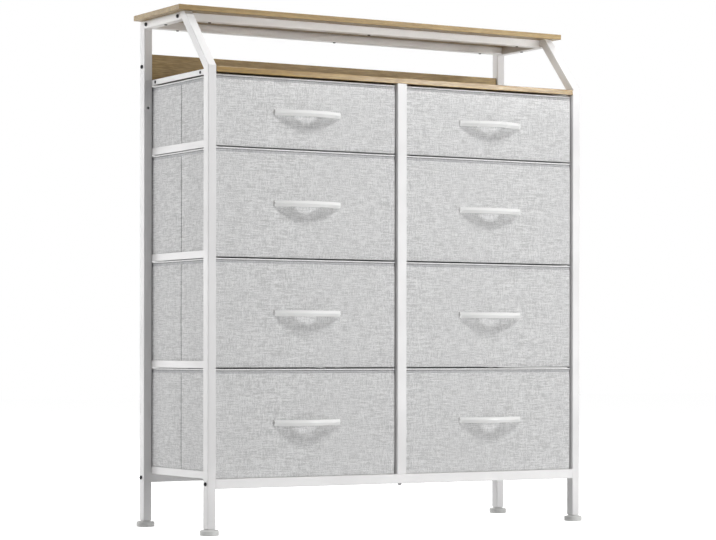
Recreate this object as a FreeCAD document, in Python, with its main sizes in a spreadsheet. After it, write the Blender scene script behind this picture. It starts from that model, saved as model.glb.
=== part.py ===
import FreeCAD, Part
import os
import re
import Sketcher

# Fabric drawer dresser: a white steel-tube frame with wood-effect boards, a raised back shelf,
# two columns of fabric drawers on sheet-metal runners, and four levelling feet.
#
# Axes: +X to the right, +Y to the back, +Z up. The origin is on the floor, midway between the two
# sides, and midway between the front of the handles and the back of the rear feet. Lengths are in
# millimetres and angles in degrees. Rows are counted from the bottom.

Vector = FreeCAD.Vector
Rotation = FreeCAD.Rotation

# ---------------------------------------------------------------------------------------------
# Driving dimensions: alias, value, meaning
# ---------------------------------------------------------------------------------------------
DIMENSIONS = (
    ("frame_width", 1000, "outside width over the posts"),
    ("frame_depth", 348.5, "front of the front posts to back of the rear posts"),
    ("post_width", 20, "post and strut tube, across X"),
    ("post_depth", 23.5, "post tube, across Y"),
    ("tube_wall", 1.2, "wall of every tube"),
    ("tube_round", 1.5, "outside corner radius of every tube"),
    ("end_plate", 3, "tapped plate welded into each end of a cross rail or centre post"),
    ("foot_height", 15, "floor to the bottom of the posts"),
    ("rail_height", 22, "bottom cross rails, across Z"),
    ("rail_depth", 20, "bottom cross rails, across Y"),
    ("runner_level", 123, "floor to the underside of the lowest runners"),
    ("row_pitch", 245.3, "one runner level to the next"),
    ("top_row_height", 162.9, "top runner level to the underside of the top board"),
    ("runner_height", 16.3, "upright web of a runner"),
    ("runner_width", 26, "flange of a side runner"),
    ("runner_sheet", 1.5, "sheet thickness of a runner"),
    ("centre_lap", 13, "flange of a centre runner beyond the side of its post"),
    ("centre_post_width", 24.7, "centre posts, across X"),
    ("centre_post_depth", 20, "centre posts, across Y"),
    ("board_thickness", 12, "top board, back board and shelf"),
    ("board_bevel", 0.6, "bevel along the edges of the boards"),
    ("board_play", 0.3, "gap at each end of the top board and the back board"),
    ("board_rail_width", 10, "side rails that hold the top board, across X"),
    ("board_rail_height", 12.5, "side rails that hold the top board, across Z"),
    ("board_rail_drop", 1, "top of the board down to the top of those rails"),
    ("back_board_height", 59.7, "back board above the top board"),
    ("kink_rise", 2.2, "top of the board up to the front kink of the front posts"),
    ("strut_lean", 42, "lean of the struts from upright, in degrees"),
    ("strut_depth", 21.5, "strut tube, square to its length"),
    ("open_bay_height", 134.7, "top board up to the underside of the shelf"),
    ("shelf_nose", 14.3, "front edge of the shelf in front of the tops of the struts"),
    ("shelf_inset", 6, "back of the frame forward to the back edge of the shelf"),
    ("shelf_overhang", 19.3, "shelf beyond the posts at each side"),
    ("shelf_rail_height", 18, "tubes under the shelf, across Z"),
    ("shelf_rail_depth", 20, "cross tubes under the shelf, across Y"),
    ("shelf_rail_gap", 0.9, "back of the strut to the front shelf rail, at its mid-height"),
    ("drawer_recess", 8, "front of the frame back to the fabric fronts"),
    ("drawer_side_gap", 1.5, "drawer to post, each side"),
    ("drawer_seat_gap", 0.3, "drawer above its runners"),
    ("drawer_head_gap", 1.5, "drawer below the next runners"),
    ("top_head_gap", 3.8, "top drawer below the top board"),
    ("drawer_back_gap", 1.5, "back of a drawer forward of the back of the frame"),
    ("drawer_wall", 2.5, "side and back walls of a drawer"),
    ("drawer_front_wall", 6, "stiffened front wall of a drawer"),
    ("drawer_floor", 2, "fabric floor of a drawer"),
    ("drawer_corner", 3, "corner radius of a drawer"),
    ("hem_height", 10, "folded hem round the top of a drawer"),
    ("hem_proud", 0.8, "hem beyond the walls under it"),
    ("base_thickness", 3, "stiff board on the floor of a drawer"),
    ("base_play", 1, "gap round the base board"),
    ("handle_length", 170, "handle, end to end"),
    ("handle_height", 11, "handle, across Z"),
    ("handle_projection", 28, "handle in front of the fabric"),
    ("handle_grip", 9, "thickness of the handle at its middle"),
    ("handle_opening", 76, "finger opening between the feet of the handle"),
    ("handle_tip", 4, "thickness of the ends of the handle"),
    ("handle_round", 3, "rounding of the front edges of the handle"),
    ("handle_hole_spacing", 128, "handle screw to handle screw"),
    ("handle_hole_depth", 10, "blind holes in the feet of the handle"),
    ("handle_screw_shank", 3.5, "handle screw, self-tapping, diameter"),
    ("handle_screw_head", 7.5, "handle screw head, diameter"),
    ("handle_screw_head_height", 2.2, "handle screw head, height"),
    ("handle_screw_reach", 8, "handle screw inside the handle"),
    ("bolt_shank", 5, "frame bolt, diameter"),
    ("bolt_head", 9, "frame bolt head, diameter"),
    ("bolt_head_height", 3.5, "frame bolt head, height"),
    ("bolt_reach", 14, "frame bolt beyond the tube it passes through"),
    ("wood_screw_shank", 3.5, "board screw, diameter"),
    ("wood_screw_head", 7, "board screw head, diameter"),
    ("wood_screw_head_height", 1.8, "board screw head, height"),
    ("wood_screw_length", 27, "board screw under its head"),
    ("board_screw_inset", 36, "post to board screw"),
    ("shelf_screw_inset", 60, "end of a shelf rail to its outer screws"),
    ("fastener_play", 0.2, "hole over shank, and hole beyond the end of a screw"),
    ("anchor_level", 968.5, "floor to the wall anchor holes"),
    ("anchor_hole", 6, "wall anchor hole, diameter"),
    ("foot_diameter", 42.5, "levelling foot, diameter"),
    ("foot_disc", 12.5, "disc of the foot, height"),
    ("foot_bevel", 2, "bevel of the rims of the foot"),
    ("foot_neck", 24, "neck of the foot, diameter"),
    ("foot_clearance", 0.4, "neck of the foot below the post"),
    ("stem_diameter", 8, "threaded stem of the foot, diameter"),
    ("stem_length", 32, "threaded stem above the neck"),
    ("stem_play", 0.3, "hole in the plug over the stem, diameter"),
    ("plug_height", 25, "plastic plug in the bottom of a post"),
)

ROWS = 4            # drawers in a column, the top one lower than the others

# Places and sizes that follow from the driving dimensions, written as formulas of them.
FOLLOWING = {
    "handle_reach": "handle_projection - drawer_recess",
    "foot_reach": "(foot_diameter - post_depth) / 2",
    "front": "-(frame_depth + foot_reach - handle_reach) / 2",
    "back": "front + frame_depth",
    "half_width": "frame_width / 2",
    "bay_side": "half_width - post_width",
    "post_centre": "half_width - post_width / 2",
    "rear_post_front": "back - post_depth",
    "rail_top": "runner_level + runner_sheet",
    "rail_bottom": "rail_top - rail_height",
    "rail_middle": "rail_top - rail_height / 2",
    "front_rail_centre": "front + rail_depth / 2",
    "rear_rail_centre": "back - rail_depth / 2",
    "board_bottom": f"runner_level + {ROWS - 1} * row_pitch + top_row_height",
    "board_top": "board_bottom + board_thickness",
    "board_half": "bay_side - board_play",
    "back_board_front": "rear_post_front + (post_depth - board_thickness) / 2",
    "back_board_centre": "back_board_front + board_thickness / 2",
    "back_board_middle": "board_top + back_board_height / 2",
    "kink": "board_top + kink_rise",
    "inner_kink": "kink - (strut_section - post_depth) / tan(strut_lean)",
    "strut_section": "strut_depth / cos(strut_lean)",
    "strut_skin": "tube_wall / cos(strut_lean)",
    "shelf_bottom": "board_top + open_bay_height",
    "shelf_rail_bottom": "shelf_bottom - shelf_rail_height",
    "shelf_rail_middle": "shelf_bottom - shelf_rail_height / 2",
    "shelf_front": "front + (shelf_bottom - kink) * tan(strut_lean) - shelf_nose",
    "front_shelf_rail": "front + (shelf_rail_middle - kink) * tan(strut_lean) + strut_section "
                        "+ shelf_rail_gap",
    "rear_shelf_rail": "rear_post_front - shelf_rail_depth",
    "shelf_side_screw": "(front_shelf_rail + rear_post_front) / 2",
    "board_rail_top": "board_top - board_rail_drop",
    "board_rail_bottom": "board_rail_top - board_rail_height",
    "board_rail_middle": "board_rail_top - board_rail_height / 2",
    "board_rail_centre": "bay_side + board_rail_width / 2",
    "pilot_depth": "wood_screw_length - board_rail_width",
    "centre_half": "centre_post_width / 2",
    "centre_flange_half": "centre_half + centre_lap",
    "drawer_face": "front + drawer_recess",
    "drawer_back": "back - drawer_back_gap",
    "drawer_inner": "centre_half + drawer_side_gap",
    "drawer_outer": "bay_side - drawer_side_gap",
    "drawer_half": "(drawer_outer - drawer_inner) / 2",
    "wall_half": "drawer_half - hem_proud",
    "bay_half": "wall_half - drawer_wall",
    "column_centre": "(drawer_inner + drawer_outer) / 2",
    "drawer_seat": "runner_sheet + drawer_seat_gap",
    "tall_height": "row_pitch - drawer_seat - drawer_head_gap",
    "short_height": "top_row_height - drawer_seat - top_head_gap",
    "bolt_length": "post_width + bolt_reach",
    "bolt_hole": "bolt_shank + fastener_play",
    "screw_hole": "wood_screw_shank + fastener_play",
    "handle_screw_hole": "handle_screw_shank + fastener_play",
    "handle_screw_length": "drawer_front_wall + handle_screw_reach",
    "neck_top": "foot_height - foot_clearance",
}

SHEET_NAME = "Sizes"
ALIASES = {alias for alias, value, meaning in DIMENSIONS}
WORD = re.compile(r"[a-z_]+")
OVERRUN = 1.0       # how far a bore or a drill runs past the face that it opens
LEAST_MITRE = 0.2   # mitre left on a board rail whose strut starts above it

SIDES = (("left", -1), ("right", 1))

TO_RIGHT = Rotation(Vector(0, 1, 0), 90)
TO_LEFT = Rotation(Vector(0, 1, 0), -90)
TO_BACK = Rotation(Vector(1, 0, 0), -90)
TO_FRONT = Rotation(Vector(1, 0, 0), 90)
UPWARDS = Rotation()

# Where the screws of the boards stand along their rails.
SHELF_RAIL_SCREWS = ("-bay_side + shelf_screw_inset", "0", "bay_side - shelf_screw_inset")
BOARD_SCREWS = ("front + post_depth + board_screw_inset", "rear_post_front - board_screw_inset")

document = FreeCAD.newDocument("FabricDrawerDresser")


# ---------------------------------------------------------------------------------------------
# Sizes and expressions
# ---------------------------------------------------------------------------------------------
def make_sheet():
    """Put the driving dimensions in the spreadsheet."""
    table = document.addObject("Spreadsheet::Sheet", SHEET_NAME)
    for row, (alias, value, meaning) in enumerate(DIMENSIONS, start=1):
        table.set(f"A{row}", meaning)
        table.set(f"B{row}", str(value))
        table.setAlias(f"B{row}", alias)
    document.recompute()
    return table


def bound(formula):
    """Turn a formula of size names into an expression of the spreadsheet's cells."""
    def replace(match):
        word = match.group()
        if word in FOLLOWING:
            return f"({bound(FOLLOWING[word])})"
        return f"{SHEET_NAME}.{word}" if word in ALIASES else word
    return WORD.sub(replace, str(formula))


def bind(item, **formulas):
    """Bind properties of an object to formulas; a double underscore stands for a dot."""
    for name, formula in formulas.items():
        item.setExpression(name.replace("__", "."), bound(formula))


def place(item, x="0", y="0", z="0", rotation=UPWARDS):
    """Give an object its place by formulas, and its turn by a fixed rotation."""
    item.Placement = FreeCAD.Placement(Vector(), rotation)
    bind(item, Placement__Base__x=x, Placement__Base__y=y, Placement__Base__z=z)


# ---------------------------------------------------------------------------------------------
# Sketches and features
# ---------------------------------------------------------------------------------------------
def make_body(label):
    """Start an empty body."""
    body = document.addObject("PartDesign::Body", label)
    body.Label = label
    return body


def make_sketch(body, plane, offset="0"):
    """Attach a sketch to one of the body's origin planes, moved along the plane's normal."""
    sketch = body.newObject("Sketcher::SketchObject", f"{body.Name}_sketch")
    support = [item for item in body.Origin.OriginFeatures if item.Role == f"{plane}_Plane"]
    sketch.AttachmentSupport = [(support[0], "")]
    sketch.MapMode = "FlatFace"
    bind(sketch, AttachmentOffset__Base__z=offset)
    return sketch


def join(sketch, *ends):
    """Join pairs of line or arc ends, each pair given as (geometry, end, geometry, end)."""
    for geometry, end, other, other_end in ends:
        sketch.addConstraint(Sketcher.Constraint("Coincident", geometry, end, other, other_end))


def pin(sketch, geometry, end, u, v):
    """Hold a point of the sketch at the place that two formulas give."""
    start = sketch.getPoint(geometry, end)
    for kind, value, formula in (("DistanceX", start.x, u), ("DistanceY", start.y, v)):
        index = sketch.addConstraint(Sketcher.Constraint(kind, -1, 1, geometry, end, value))
        sketch.setExpression(f"Constraints[{index}]", bound(formula))


def draw_polygon(sketch, points):
    """Draw a closed outline through the points, each a pair of formulas."""
    count = len(points)
    corners = [Rotation(Vector(0, 0, 1), 360.0 * index / count).multVec(Vector(10, 0, 0))
               for index in range(count)]
    for index in range(count):
        line = Part.LineSegment(corners[index], corners[(index + 1) % count])
        sketch.addGeometry(line, False)
    for index, (u, v) in enumerate(points):
        join(sketch, (index, 2, (index + 1) % count, 1))
        pin(sketch, index, 1, u, v)


def rectangle(low_u, low_v, high_u, high_v):
    """Give the four corners of a rectangle."""
    return [(low_u, low_v), (high_u, low_v), (high_u, high_v), (low_u, high_v)]


def extrude(body, sketch, length, feature="PartDesign::Pad", side="Symmetric"):
    """Pad or pocket a sketch, to both sides of its plane or along its normal."""
    item = body.newObject(feature, f"{body.Name}_{feature.split('::')[1].lower()}")
    item.Profile = sketch
    item.SideType = side
    bind(item, Length=length)
    return item


def round_edges(body, chosen, radius):
    """Round those edges of the body's present shape that a test picks."""
    document.recompute()
    base = body.Tip
    names = [f"Edge{index}" for index, edge in enumerate(base.Shape.Edges, start=1) if chosen(edge)]
    if not names:
        raise RuntimeError(f"{body.Label}: no edge to round")
    fillet = body.newObject("PartDesign::Fillet", f"{body.Name}_round")
    fillet.Base = (base, names)
    bind(fillet, Radius=radius)
    return fillet


def bevel_edges(body, size):
    """Bevel every edge of the body's present shape."""
    document.recompute()
    base = body.Tip
    bevel = body.newObject("PartDesign::Chamfer", f"{body.Name}_bevel")
    bevel.Base = (base, [f"Edge{index}" for index in range(1, len(base.Shape.Edges) + 1)])
    bind(bevel, Size=size)
    return bevel


def runs_along(direction):
    """Make a test for straight edges that run along a direction."""
    def chosen(edge):
        return isinstance(edge.Curve, Part.Line) and abs(edge.Curve.Direction * direction) > 1 - 1e-6
    return chosen


def is_circle(radius):
    """Make a test for circles and arcs of a radius."""
    def chosen(edge):
        return isinstance(edge.Curve, Part.Circle) and abs(edge.Curve.Radius - radius) < 1e-3
    return chosen


def drill(body, diameter, length, x, y, z, rotation):
    """Cut a round hole that starts at a place and runs along the turned Z axis."""
    hole = body.newObject("PartDesign::SubtractiveCylinder", f"{body.Name}_hole")
    place(hole, x, y, z, rotation)
    bind(hole, Radius=f"({diameter}) / 2", Height=length)
    return hole


# ---------------------------------------------------------------------------------------------
# Kinds of piece
# ---------------------------------------------------------------------------------------------
def make_tube(label, plane, offset, width, outline, bore, direction):
    """Make a tube: an outline padded to its width, rounded along its length and bored out."""
    body = make_body(label)
    outer = make_sketch(body, plane, offset)
    draw_polygon(outer, outline)
    extrude(body, outer, width)
    round_edges(body, runs_along(direction), "tube_round")
    inner = make_sketch(body, plane, offset)
    draw_polygon(inner, bore)
    extrude(body, inner, f"{width} - 2 * tube_wall", "PartDesign::Pocket")
    return body


def make_board(label, low, high):
    """Make a board between two corners, with its edges bevelled."""
    body = make_body(label)
    sketch = make_sketch(body, "XY", f"({low[2]} + {high[2]}) / 2")
    draw_polygon(sketch, rectangle(low[0], low[1], high[0], high[1]))
    extrude(body, sketch, f"{high[2]} - ({low[2]})")
    bevel_edges(body, "board_bevel")
    return body


def make_turned(label, profile):
    """Turn a half profile, given as (radius, height) formulas, about the Z axis."""
    body = make_body(label)
    sketch = make_sketch(body, "XZ")
    draw_polygon(sketch, profile)
    turned = body.newObject("PartDesign::Revolution", f"{body.Name}_turned")
    turned.Profile = sketch
    turned.ReferenceAxis = (sketch, ["V_Axis"])
    turned.Angle = 360
    return body


def make_fastener(label, head, head_height, shank, length):
    """A domed fastener about the Z axis: its head below Z = 0 and its shank above it."""
    return make_turned(label, [
        ("0", f"-{head_height}"),
        (f"{head} * 0.3", f"-{head_height}"),
        (f"{head} / 2", f"-{head_height} * 0.35"),
        (f"{head} / 2", "0"),
        (f"{shank} / 2", "0"),
        (f"{shank} / 2", length),
        ("0", length),
    ])


def make_copy(label, original, x="0", y="0", z="0", rotation=UPWARDS):
    """Place a linked copy of a finished piece."""
    copy = document.addObject("App::Link", label)
    copy.Label = label
    copy.LinkedObject = original
    place(copy, x, y, z, rotation)
    return copy


def make_group(label, members):
    """Gather separate solids in one node."""
    group = document.addObject("Part::Compound", label)
    group.Label = label
    group.Links = members
    return group


# ---------------------------------------------------------------------------------------------
# Side frames: posts, struts and rails
# ---------------------------------------------------------------------------------------------
def drill_across(body, side, y, z):
    """Drill a post or a side rail right through along X for a frame bolt."""
    start = f"{side} * post_centre - post_width / 2 - {OVERRUN}"
    drill(body, "bolt_hole", f"post_width + 2 * {OVERRUN}", start, y, z, TO_RIGHT)


def make_front_post(name, side):
    """A front post, cut off at the kink to meet the strut that leans back from it."""
    outline = [("front", "foot_height"), ("front + post_depth", "foot_height"),
               ("front + post_depth", "inner_kink"), ("front", "kink")]
    bore = rectangle("front + tube_wall", f"foot_height - {OVERRUN}",
                     "front + post_depth - tube_wall", f"kink + {OVERRUN}")
    body = make_tube(f"{name}_front_post", "YZ", f"{side} * post_centre", "post_width",
                     outline, bore, Vector(0, 0, 1))
    drill_across(body, side, "front_rail_centre", "rail_middle")
    return body


def make_rear_post(name, side):
    """A rear post from its foot up to the shelf, with a wall anchor hole through it."""
    outline = rectangle("rear_post_front", "foot_height", "back", "shelf_bottom")
    bore = rectangle("rear_post_front + tube_wall", f"foot_height - {OVERRUN}",
                     "back - tube_wall", f"shelf_bottom + {OVERRUN}")
    body = make_tube(f"{name}_rear_post", "YZ", f"{side} * post_centre", "post_width",
                     outline, bore, Vector(0, 0, 1))
    drill_across(body, side, "rear_rail_centre", "rail_middle")
    drill_across(body, side, "back_board_centre", "back_board_middle")
    drill(body, "anchor_hole", f"post_depth + 2 * {OVERRUN}", f"{side} * post_centre",
          f"rear_post_front - {OVERRUN}", "anchor_level", TO_BACK)
    return body


def strut_front(height):
    """Formula for the Y of the front of a strut at a height."""
    return f"front + ({height} - kink) * tan(strut_lean)"


def strut_back(height):
    """Formula for the Y of the back of a strut at a height."""
    return f"{strut_front(height)} + strut_section"


def make_strut(name, side):
    """A strut from the kink of a front post back and up to the shelf."""
    outline = [("front", "kink"), ("front + post_depth", "inner_kink"),
               (strut_back("shelf_bottom"), "shelf_bottom"),
               (strut_front("shelf_bottom"), "shelf_bottom")]
    low = "inner_kink - post_depth"
    high = f"shelf_bottom + {OVERRUN}"
    bore = [(f"{strut_front(low)} + strut_skin", low), (f"{strut_back(low)} - strut_skin", low),
            (f"{strut_back(high)} - strut_skin", high), (f"{strut_front(high)} + strut_skin", high)]
    lean = Rotation(Vector(1, 0, 0), -sheet.get("strut_lean"))
    return make_tube(f"{name}_shelf_strut", "YZ", f"{side} * post_centre", "post_width",
                     outline, bore, lean.multVec(Vector(0, 0, 1)))


def make_shelf_side_rail(name, side):
    """The side tube under the shelf, from the back of the strut to the rear post."""
    outline = [(strut_back("shelf_rail_bottom"), "shelf_rail_bottom"),
               ("rear_post_front", "shelf_rail_bottom"), ("rear_post_front", "shelf_bottom"),
               (strut_back("shelf_bottom"), "shelf_bottom")]
    bore = rectangle(f"{strut_back('shelf_rail_bottom')} - {OVERRUN}", "shelf_rail_bottom + tube_wall",
                     f"rear_post_front + {OVERRUN}", "shelf_bottom - tube_wall")
    body = make_tube(f"{name}_shelf_side_rail", "YZ", f"{side} * post_centre", "post_width",
                     outline, bore, Vector(0, 1, 0))
    for rail in ("front_shelf_rail", "rear_shelf_rail"):
        drill_across(body, side, f"{rail} + shelf_rail_depth / 2", "shelf_rail_middle")
    drill(body, "screw_hole", f"shelf_rail_height + 2 * {OVERRUN}", f"{side} * post_centre",
          "shelf_side_screw", f"shelf_rail_bottom - {OVERRUN}", UPWARDS)
    return body


def make_board_rail(name, side):
    """The slim side rail that an end of the top board is screwed to, mitred to the strut."""
    mitre_low = f"min(inner_kink, board_rail_top - {LEAST_MITRE})"
    mitre_back = f"max({strut_back('board_rail_top')}, front + post_depth + {LEAST_MITRE})"
    outline = [("front + post_depth", "board_rail_bottom"), ("rear_post_front", "board_rail_bottom"),
               ("rear_post_front", "board_rail_top"), (mitre_back, "board_rail_top"),
               ("front + post_depth", mitre_low)]
    bore = rectangle(f"front + post_depth - {OVERRUN}", "board_rail_bottom + tube_wall",
                     f"rear_post_front + {OVERRUN}", "board_rail_top - tube_wall")
    body = make_tube(f"{name}_board_rail", "YZ", f"{side} * board_rail_centre", "board_rail_width",
                     outline, bore, Vector(0, 1, 0))
    start = f"{side} * board_rail_centre - board_rail_width / 2 - {OVERRUN}"
    for y in BOARD_SCREWS:
        drill(body, "screw_hole", f"board_rail_width + 2 * {OVERRUN}", start, y,
              "board_rail_middle", TO_RIGHT)
    return body


# ---------------------------------------------------------------------------------------------
# Cross rails, centre posts and runners
# ---------------------------------------------------------------------------------------------
def make_cross_rail(label, y_centre, depth, z_bottom, z_top):
    """A cross rail between the two sides, closed at its ends by tapped plates."""
    outline = rectangle("-bay_side", z_bottom, "bay_side", z_top)
    bore = rectangle("-bay_side + end_plate", f"{z_bottom} + tube_wall",
                     "bay_side - end_plate", f"{z_top} - tube_wall")
    # The XZ plane faces the front, so its offset is measured towards -Y.
    body = make_tube(label, "XZ", f"-({y_centre})", depth, outline, bore, Vector(1, 0, 0))
    for start in ("-bay_side", "bay_side - bolt_reach"):
        drill(body, "bolt_hole", "bolt_reach", start, y_centre, f"({z_bottom} + {z_top}) / 2", TO_RIGHT)
    return body


def make_bottom_rail(label, y_centre):
    """A bottom cross rail, drilled in its middle for the bolt of a centre post."""
    body = make_cross_rail(label, y_centre, "rail_depth", "rail_bottom", "rail_top")
    drill(body, "bolt_hole", f"rail_height + 2 * {OVERRUN}", "0", y_centre,
          f"rail_bottom - {OVERRUN}", UPWARDS)
    return body


def make_shelf_rail(label, y_centre):
    """A cross rail under the shelf, drilled upwards for the shelf screws."""
    body = make_cross_rail(label, y_centre, "shelf_rail_depth", "shelf_rail_bottom", "shelf_bottom")
    for x in SHELF_RAIL_SCREWS:
        drill(body, "screw_hole", f"shelf_rail_height + 2 * {OVERRUN}", x, y_centre,
              f"shelf_rail_bottom - {OVERRUN}", UPWARDS)
    return body


def make_centre_post(label, y_front, y_bolt):
    """A centre post between a bottom rail and the top board, closed at both ends."""
    y_back = f"{y_front} + centre_post_depth"
    outline = rectangle(y_front, "rail_top", y_back, "board_bottom")
    bore = rectangle(f"{y_front} + tube_wall", "rail_top + end_plate",
                     f"{y_back} - tube_wall", "board_bottom - end_plate")
    body = make_tube(label, "YZ", "0", "centre_post_width", outline, bore, Vector(0, 0, 1))
    drill(body, "bolt_hole", "bolt_reach", "0", y_bolt, "rail_top", UPWARDS)
    return body


def row_level(row):
    """Formula for the underside of the runners of a row."""
    return f"(runner_level + {row - 1} * row_pitch)"


def make_side_runner(name, side, row):
    """The angle that carries the outer side of a drawer: web outside, flange inwards."""
    body = make_body(f"{name}_runner_{row}")
    level = row_level(row)
    outside = f"{side} * post_centre"
    inside = f"{side} * (post_centre - runner_width)"
    web = f"{side} * (post_centre - runner_sheet)"
    sketch = make_sketch(body, "XZ", "-(front + back) / 2")
    draw_polygon(sketch, [(outside, level), (inside, level), (inside, f"{level} + runner_sheet"),
                          (web, f"{level} + runner_sheet"), (web, f"{level} + runner_height"),
                          (outside, f"{level} + runner_height")])
    extrude(body, sketch, "frame_depth - 2 * post_depth")
    return body


def make_centre_runner(row):
    """The T that carries the inner sides of two drawers, between the centre posts."""
    body = make_body(f"centre_runner_{row}")
    level = row_level(row)
    sketch = make_sketch(body, "XZ", "-(front + back) / 2")
    draw_polygon(sketch, [("-centre_flange_half", level), ("centre_flange_half", level),
                          ("centre_flange_half", f"{level} + runner_sheet"),
                          ("runner_sheet", f"{level} + runner_sheet"),
                          ("runner_sheet", f"{level} + runner_height"),
                          ("-runner_sheet", f"{level} + runner_height"),
                          ("-runner_sheet", f"{level} + runner_sheet"),
                          ("-centre_flange_half", f"{level} + runner_sheet")])
    extrude(body, sketch, "frame_depth - 2 * centre_post_depth")
    return body


# ---------------------------------------------------------------------------------------------
# Boards
# ---------------------------------------------------------------------------------------------
def shelf_screw_places():
    """Where the shelf screws stand, as (x, y) formulas."""
    along_rails = [(x, f"{rail} + shelf_rail_depth / 2")
                   for rail in ("front_shelf_rail", "rear_shelf_rail") for x in SHELF_RAIL_SCREWS]
    at_sides = [(f"{side} * post_centre", "shelf_side_screw") for name, side in SIDES]
    return along_rails + at_sides


def make_top_board():
    """The top board between the posts, with pilot holes in its ends."""
    body = make_board("top_board", ("-board_half", "front", "board_bottom"),
                      ("board_half", "back", "board_top"))
    for start in ("-board_half", "board_half - pilot_depth"):
        for y in BOARD_SCREWS:
            drill(body, "screw_hole", "pilot_depth", start, y, "board_rail_middle", TO_RIGHT)
    return body


def make_back_board():
    """The low back board between the rear posts, standing on the top board."""
    body = make_board("back_board", ("-board_half", "back_board_front", "board_top"),
                      ("board_half", "back_board_front + board_thickness",
                       "board_top + back_board_height"))
    for start in ("-board_half", "board_half - bolt_reach"):
        drill(body, "bolt_hole", "bolt_reach", start, "back_board_centre", "back_board_middle", TO_RIGHT)
    return body


def make_shelf_board():
    """The raised shelf, wider than the frame, with pilot holes in its underside."""
    body = make_board("shelf_board",
                      ("-(half_width + shelf_overhang)", "shelf_front", "shelf_bottom"),
                      ("half_width + shelf_overhang", "back - shelf_inset",
                       "shelf_bottom + board_thickness"))
    for x, y in shelf_screw_places():
        drill(body, "screw_hole", "wood_screw_length - shelf_rail_height + fastener_play", x, y,
              "shelf_bottom", UPWARDS)
    return body


# ---------------------------------------------------------------------------------------------
# Fasteners and feet
# ---------------------------------------------------------------------------------------------
def make_frame_bolts():
    """The bolts that hold the cross rails, the back board and the centre posts."""
    bolt = make_fastener("bolt", "bolt_head", "bolt_head_height", "bolt_shank", "bolt_length")
    places = [("front_rail_centre", "rail_middle"), ("rear_rail_centre", "rail_middle"),
              ("back_board_centre", "back_board_middle"),
              ("front_shelf_rail + shelf_rail_depth / 2", "shelf_rail_middle"),
              ("rear_shelf_rail + shelf_rail_depth / 2", "shelf_rail_middle")]
    bolts = []
    for name, side in SIDES:
        turn = TO_RIGHT if side < 0 else TO_LEFT
        for number, (y, z) in enumerate(places, start=1):
            bolts.append(make_copy(f"{name}_bolt_{number}", bolt, f"{side} * half_width", y, z, turn))
    for name, y in (("front", "front_rail_centre"), ("rear", "rear_rail_centre")):
        bolts.append(make_copy(f"{name}_centre_bolt", bolt, "0", y, "rail_bottom"))
    return make_group("frame_bolts", bolts)


def make_board_screws():
    """The screws that hold the top board to its rails and the shelf to its tubes."""
    screw = make_fastener("wood_screw", "wood_screw_head", "wood_screw_head_height",
                          "wood_screw_shank", "wood_screw_length")
    screws = []
    for name, side in SIDES:
        turn = TO_RIGHT if side < 0 else TO_LEFT
        for number, y in enumerate(BOARD_SCREWS, start=1):
            screws.append(make_copy(f"{name}_board_screw_{number}", screw,
                                    f"{side} * (bay_side + board_rail_width)", y,
                                    "board_rail_middle", turn))
    for number, (x, y) in enumerate(shelf_screw_places(), start=1):
        screws.append(make_copy(f"shelf_screw_{number}", screw, x, y, "shelf_rail_bottom"))
    return make_group("board_screws", screws)


def post_places():
    """Name and centre of each post, as (name, x, y)."""
    return [(f"{name}_{end}", f"{side} * post_centre", y)
            for name, side in SIDES
            for end, y in (("front", "front + post_depth / 2"), ("rear", "back - post_depth / 2"))]


def make_post_plugs():
    """The plastic plugs in the bottoms of the posts, threaded for the feet."""
    plug = make_body("plug")
    sketch = make_sketch(plug, "XY", "foot_height + plug_height / 2")
    half_x = "(post_width / 2 - tube_wall)"
    half_y = "(post_depth / 2 - tube_wall)"
    draw_polygon(sketch, rectangle(f"-{half_x}", f"-{half_y}", half_x, half_y))
    extrude(plug, sketch, "plug_height")
    drill(plug, "stem_diameter + stem_play", f"plug_height + 2 * {OVERRUN}", "0", "0",
          f"foot_height - {OVERRUN}", UPWARDS)
    plugs = [make_copy(f"{name}_plug", plug, x, y) for name, x, y in post_places()]
    return make_group("post_plugs", plugs)


def make_feet():
    """The levelling feet: a round disc, a neck and a threaded stem."""
    foot = make_turned("foot", [
        ("0", "0"),
        ("foot_diameter / 2 - foot_bevel", "0"),
        ("foot_diameter / 2", "foot_bevel"),
        ("foot_diameter / 2", "foot_disc - foot_bevel"),
        ("foot_diameter / 2 - foot_bevel", "foot_disc"),
        ("foot_neck / 2", "foot_disc"),
        ("foot_neck / 2", "neck_top"),
        ("stem_diameter / 2", "neck_top"),
        ("stem_diameter / 2", "neck_top + stem_length"),
        ("0", "neck_top + stem_length"),
    ])
    return [make_copy(f"{name}_foot", foot, x, y) for name, x, y in post_places()]


# ---------------------------------------------------------------------------------------------
# Drawers
# ---------------------------------------------------------------------------------------------
def make_drawer_shell(label, height):
    """A fabric drawer on Z = 0, centred on X = 0 and as far back as it sits in the frame.

    Its folded hem stands proud of the walls all round, and its front wall holds a stiffener.
    """
    body = make_body(label)
    walls = make_sketch(body, "XY")
    draw_polygon(walls, rectangle("-wall_half", "drawer_face", "wall_half", "drawer_back - hem_proud"))
    extrude(body, walls, f"{height} - hem_height", side="One side")
    hem = make_sketch(body, "XY", f"{height} - hem_height / 2")
    draw_polygon(hem, rectangle("-drawer_half", "drawer_face - hem_proud", "drawer_half", "drawer_back"))
    extrude(body, hem, "hem_height")
    round_edges(body, runs_along(Vector(0, 0, 1)), "drawer_corner")
    inside = make_sketch(body, "XY", f"drawer_floor + ({height}) / 2")
    draw_polygon(inside, rectangle("-bay_half", "drawer_face + drawer_front_wall", "bay_half",
                                   "drawer_back - hem_proud - drawer_wall"))
    extrude(body, inside, height, "PartDesign::Pocket")
    for sign in (-1, 1):
        drill(body, "handle_screw_hole", f"drawer_front_wall + 2 * {OVERRUN}",
              f"{sign} * handle_hole_spacing / 2", f"drawer_face - {OVERRUN}", f"({height}) / 2",
              TO_BACK)
    return body


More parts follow.
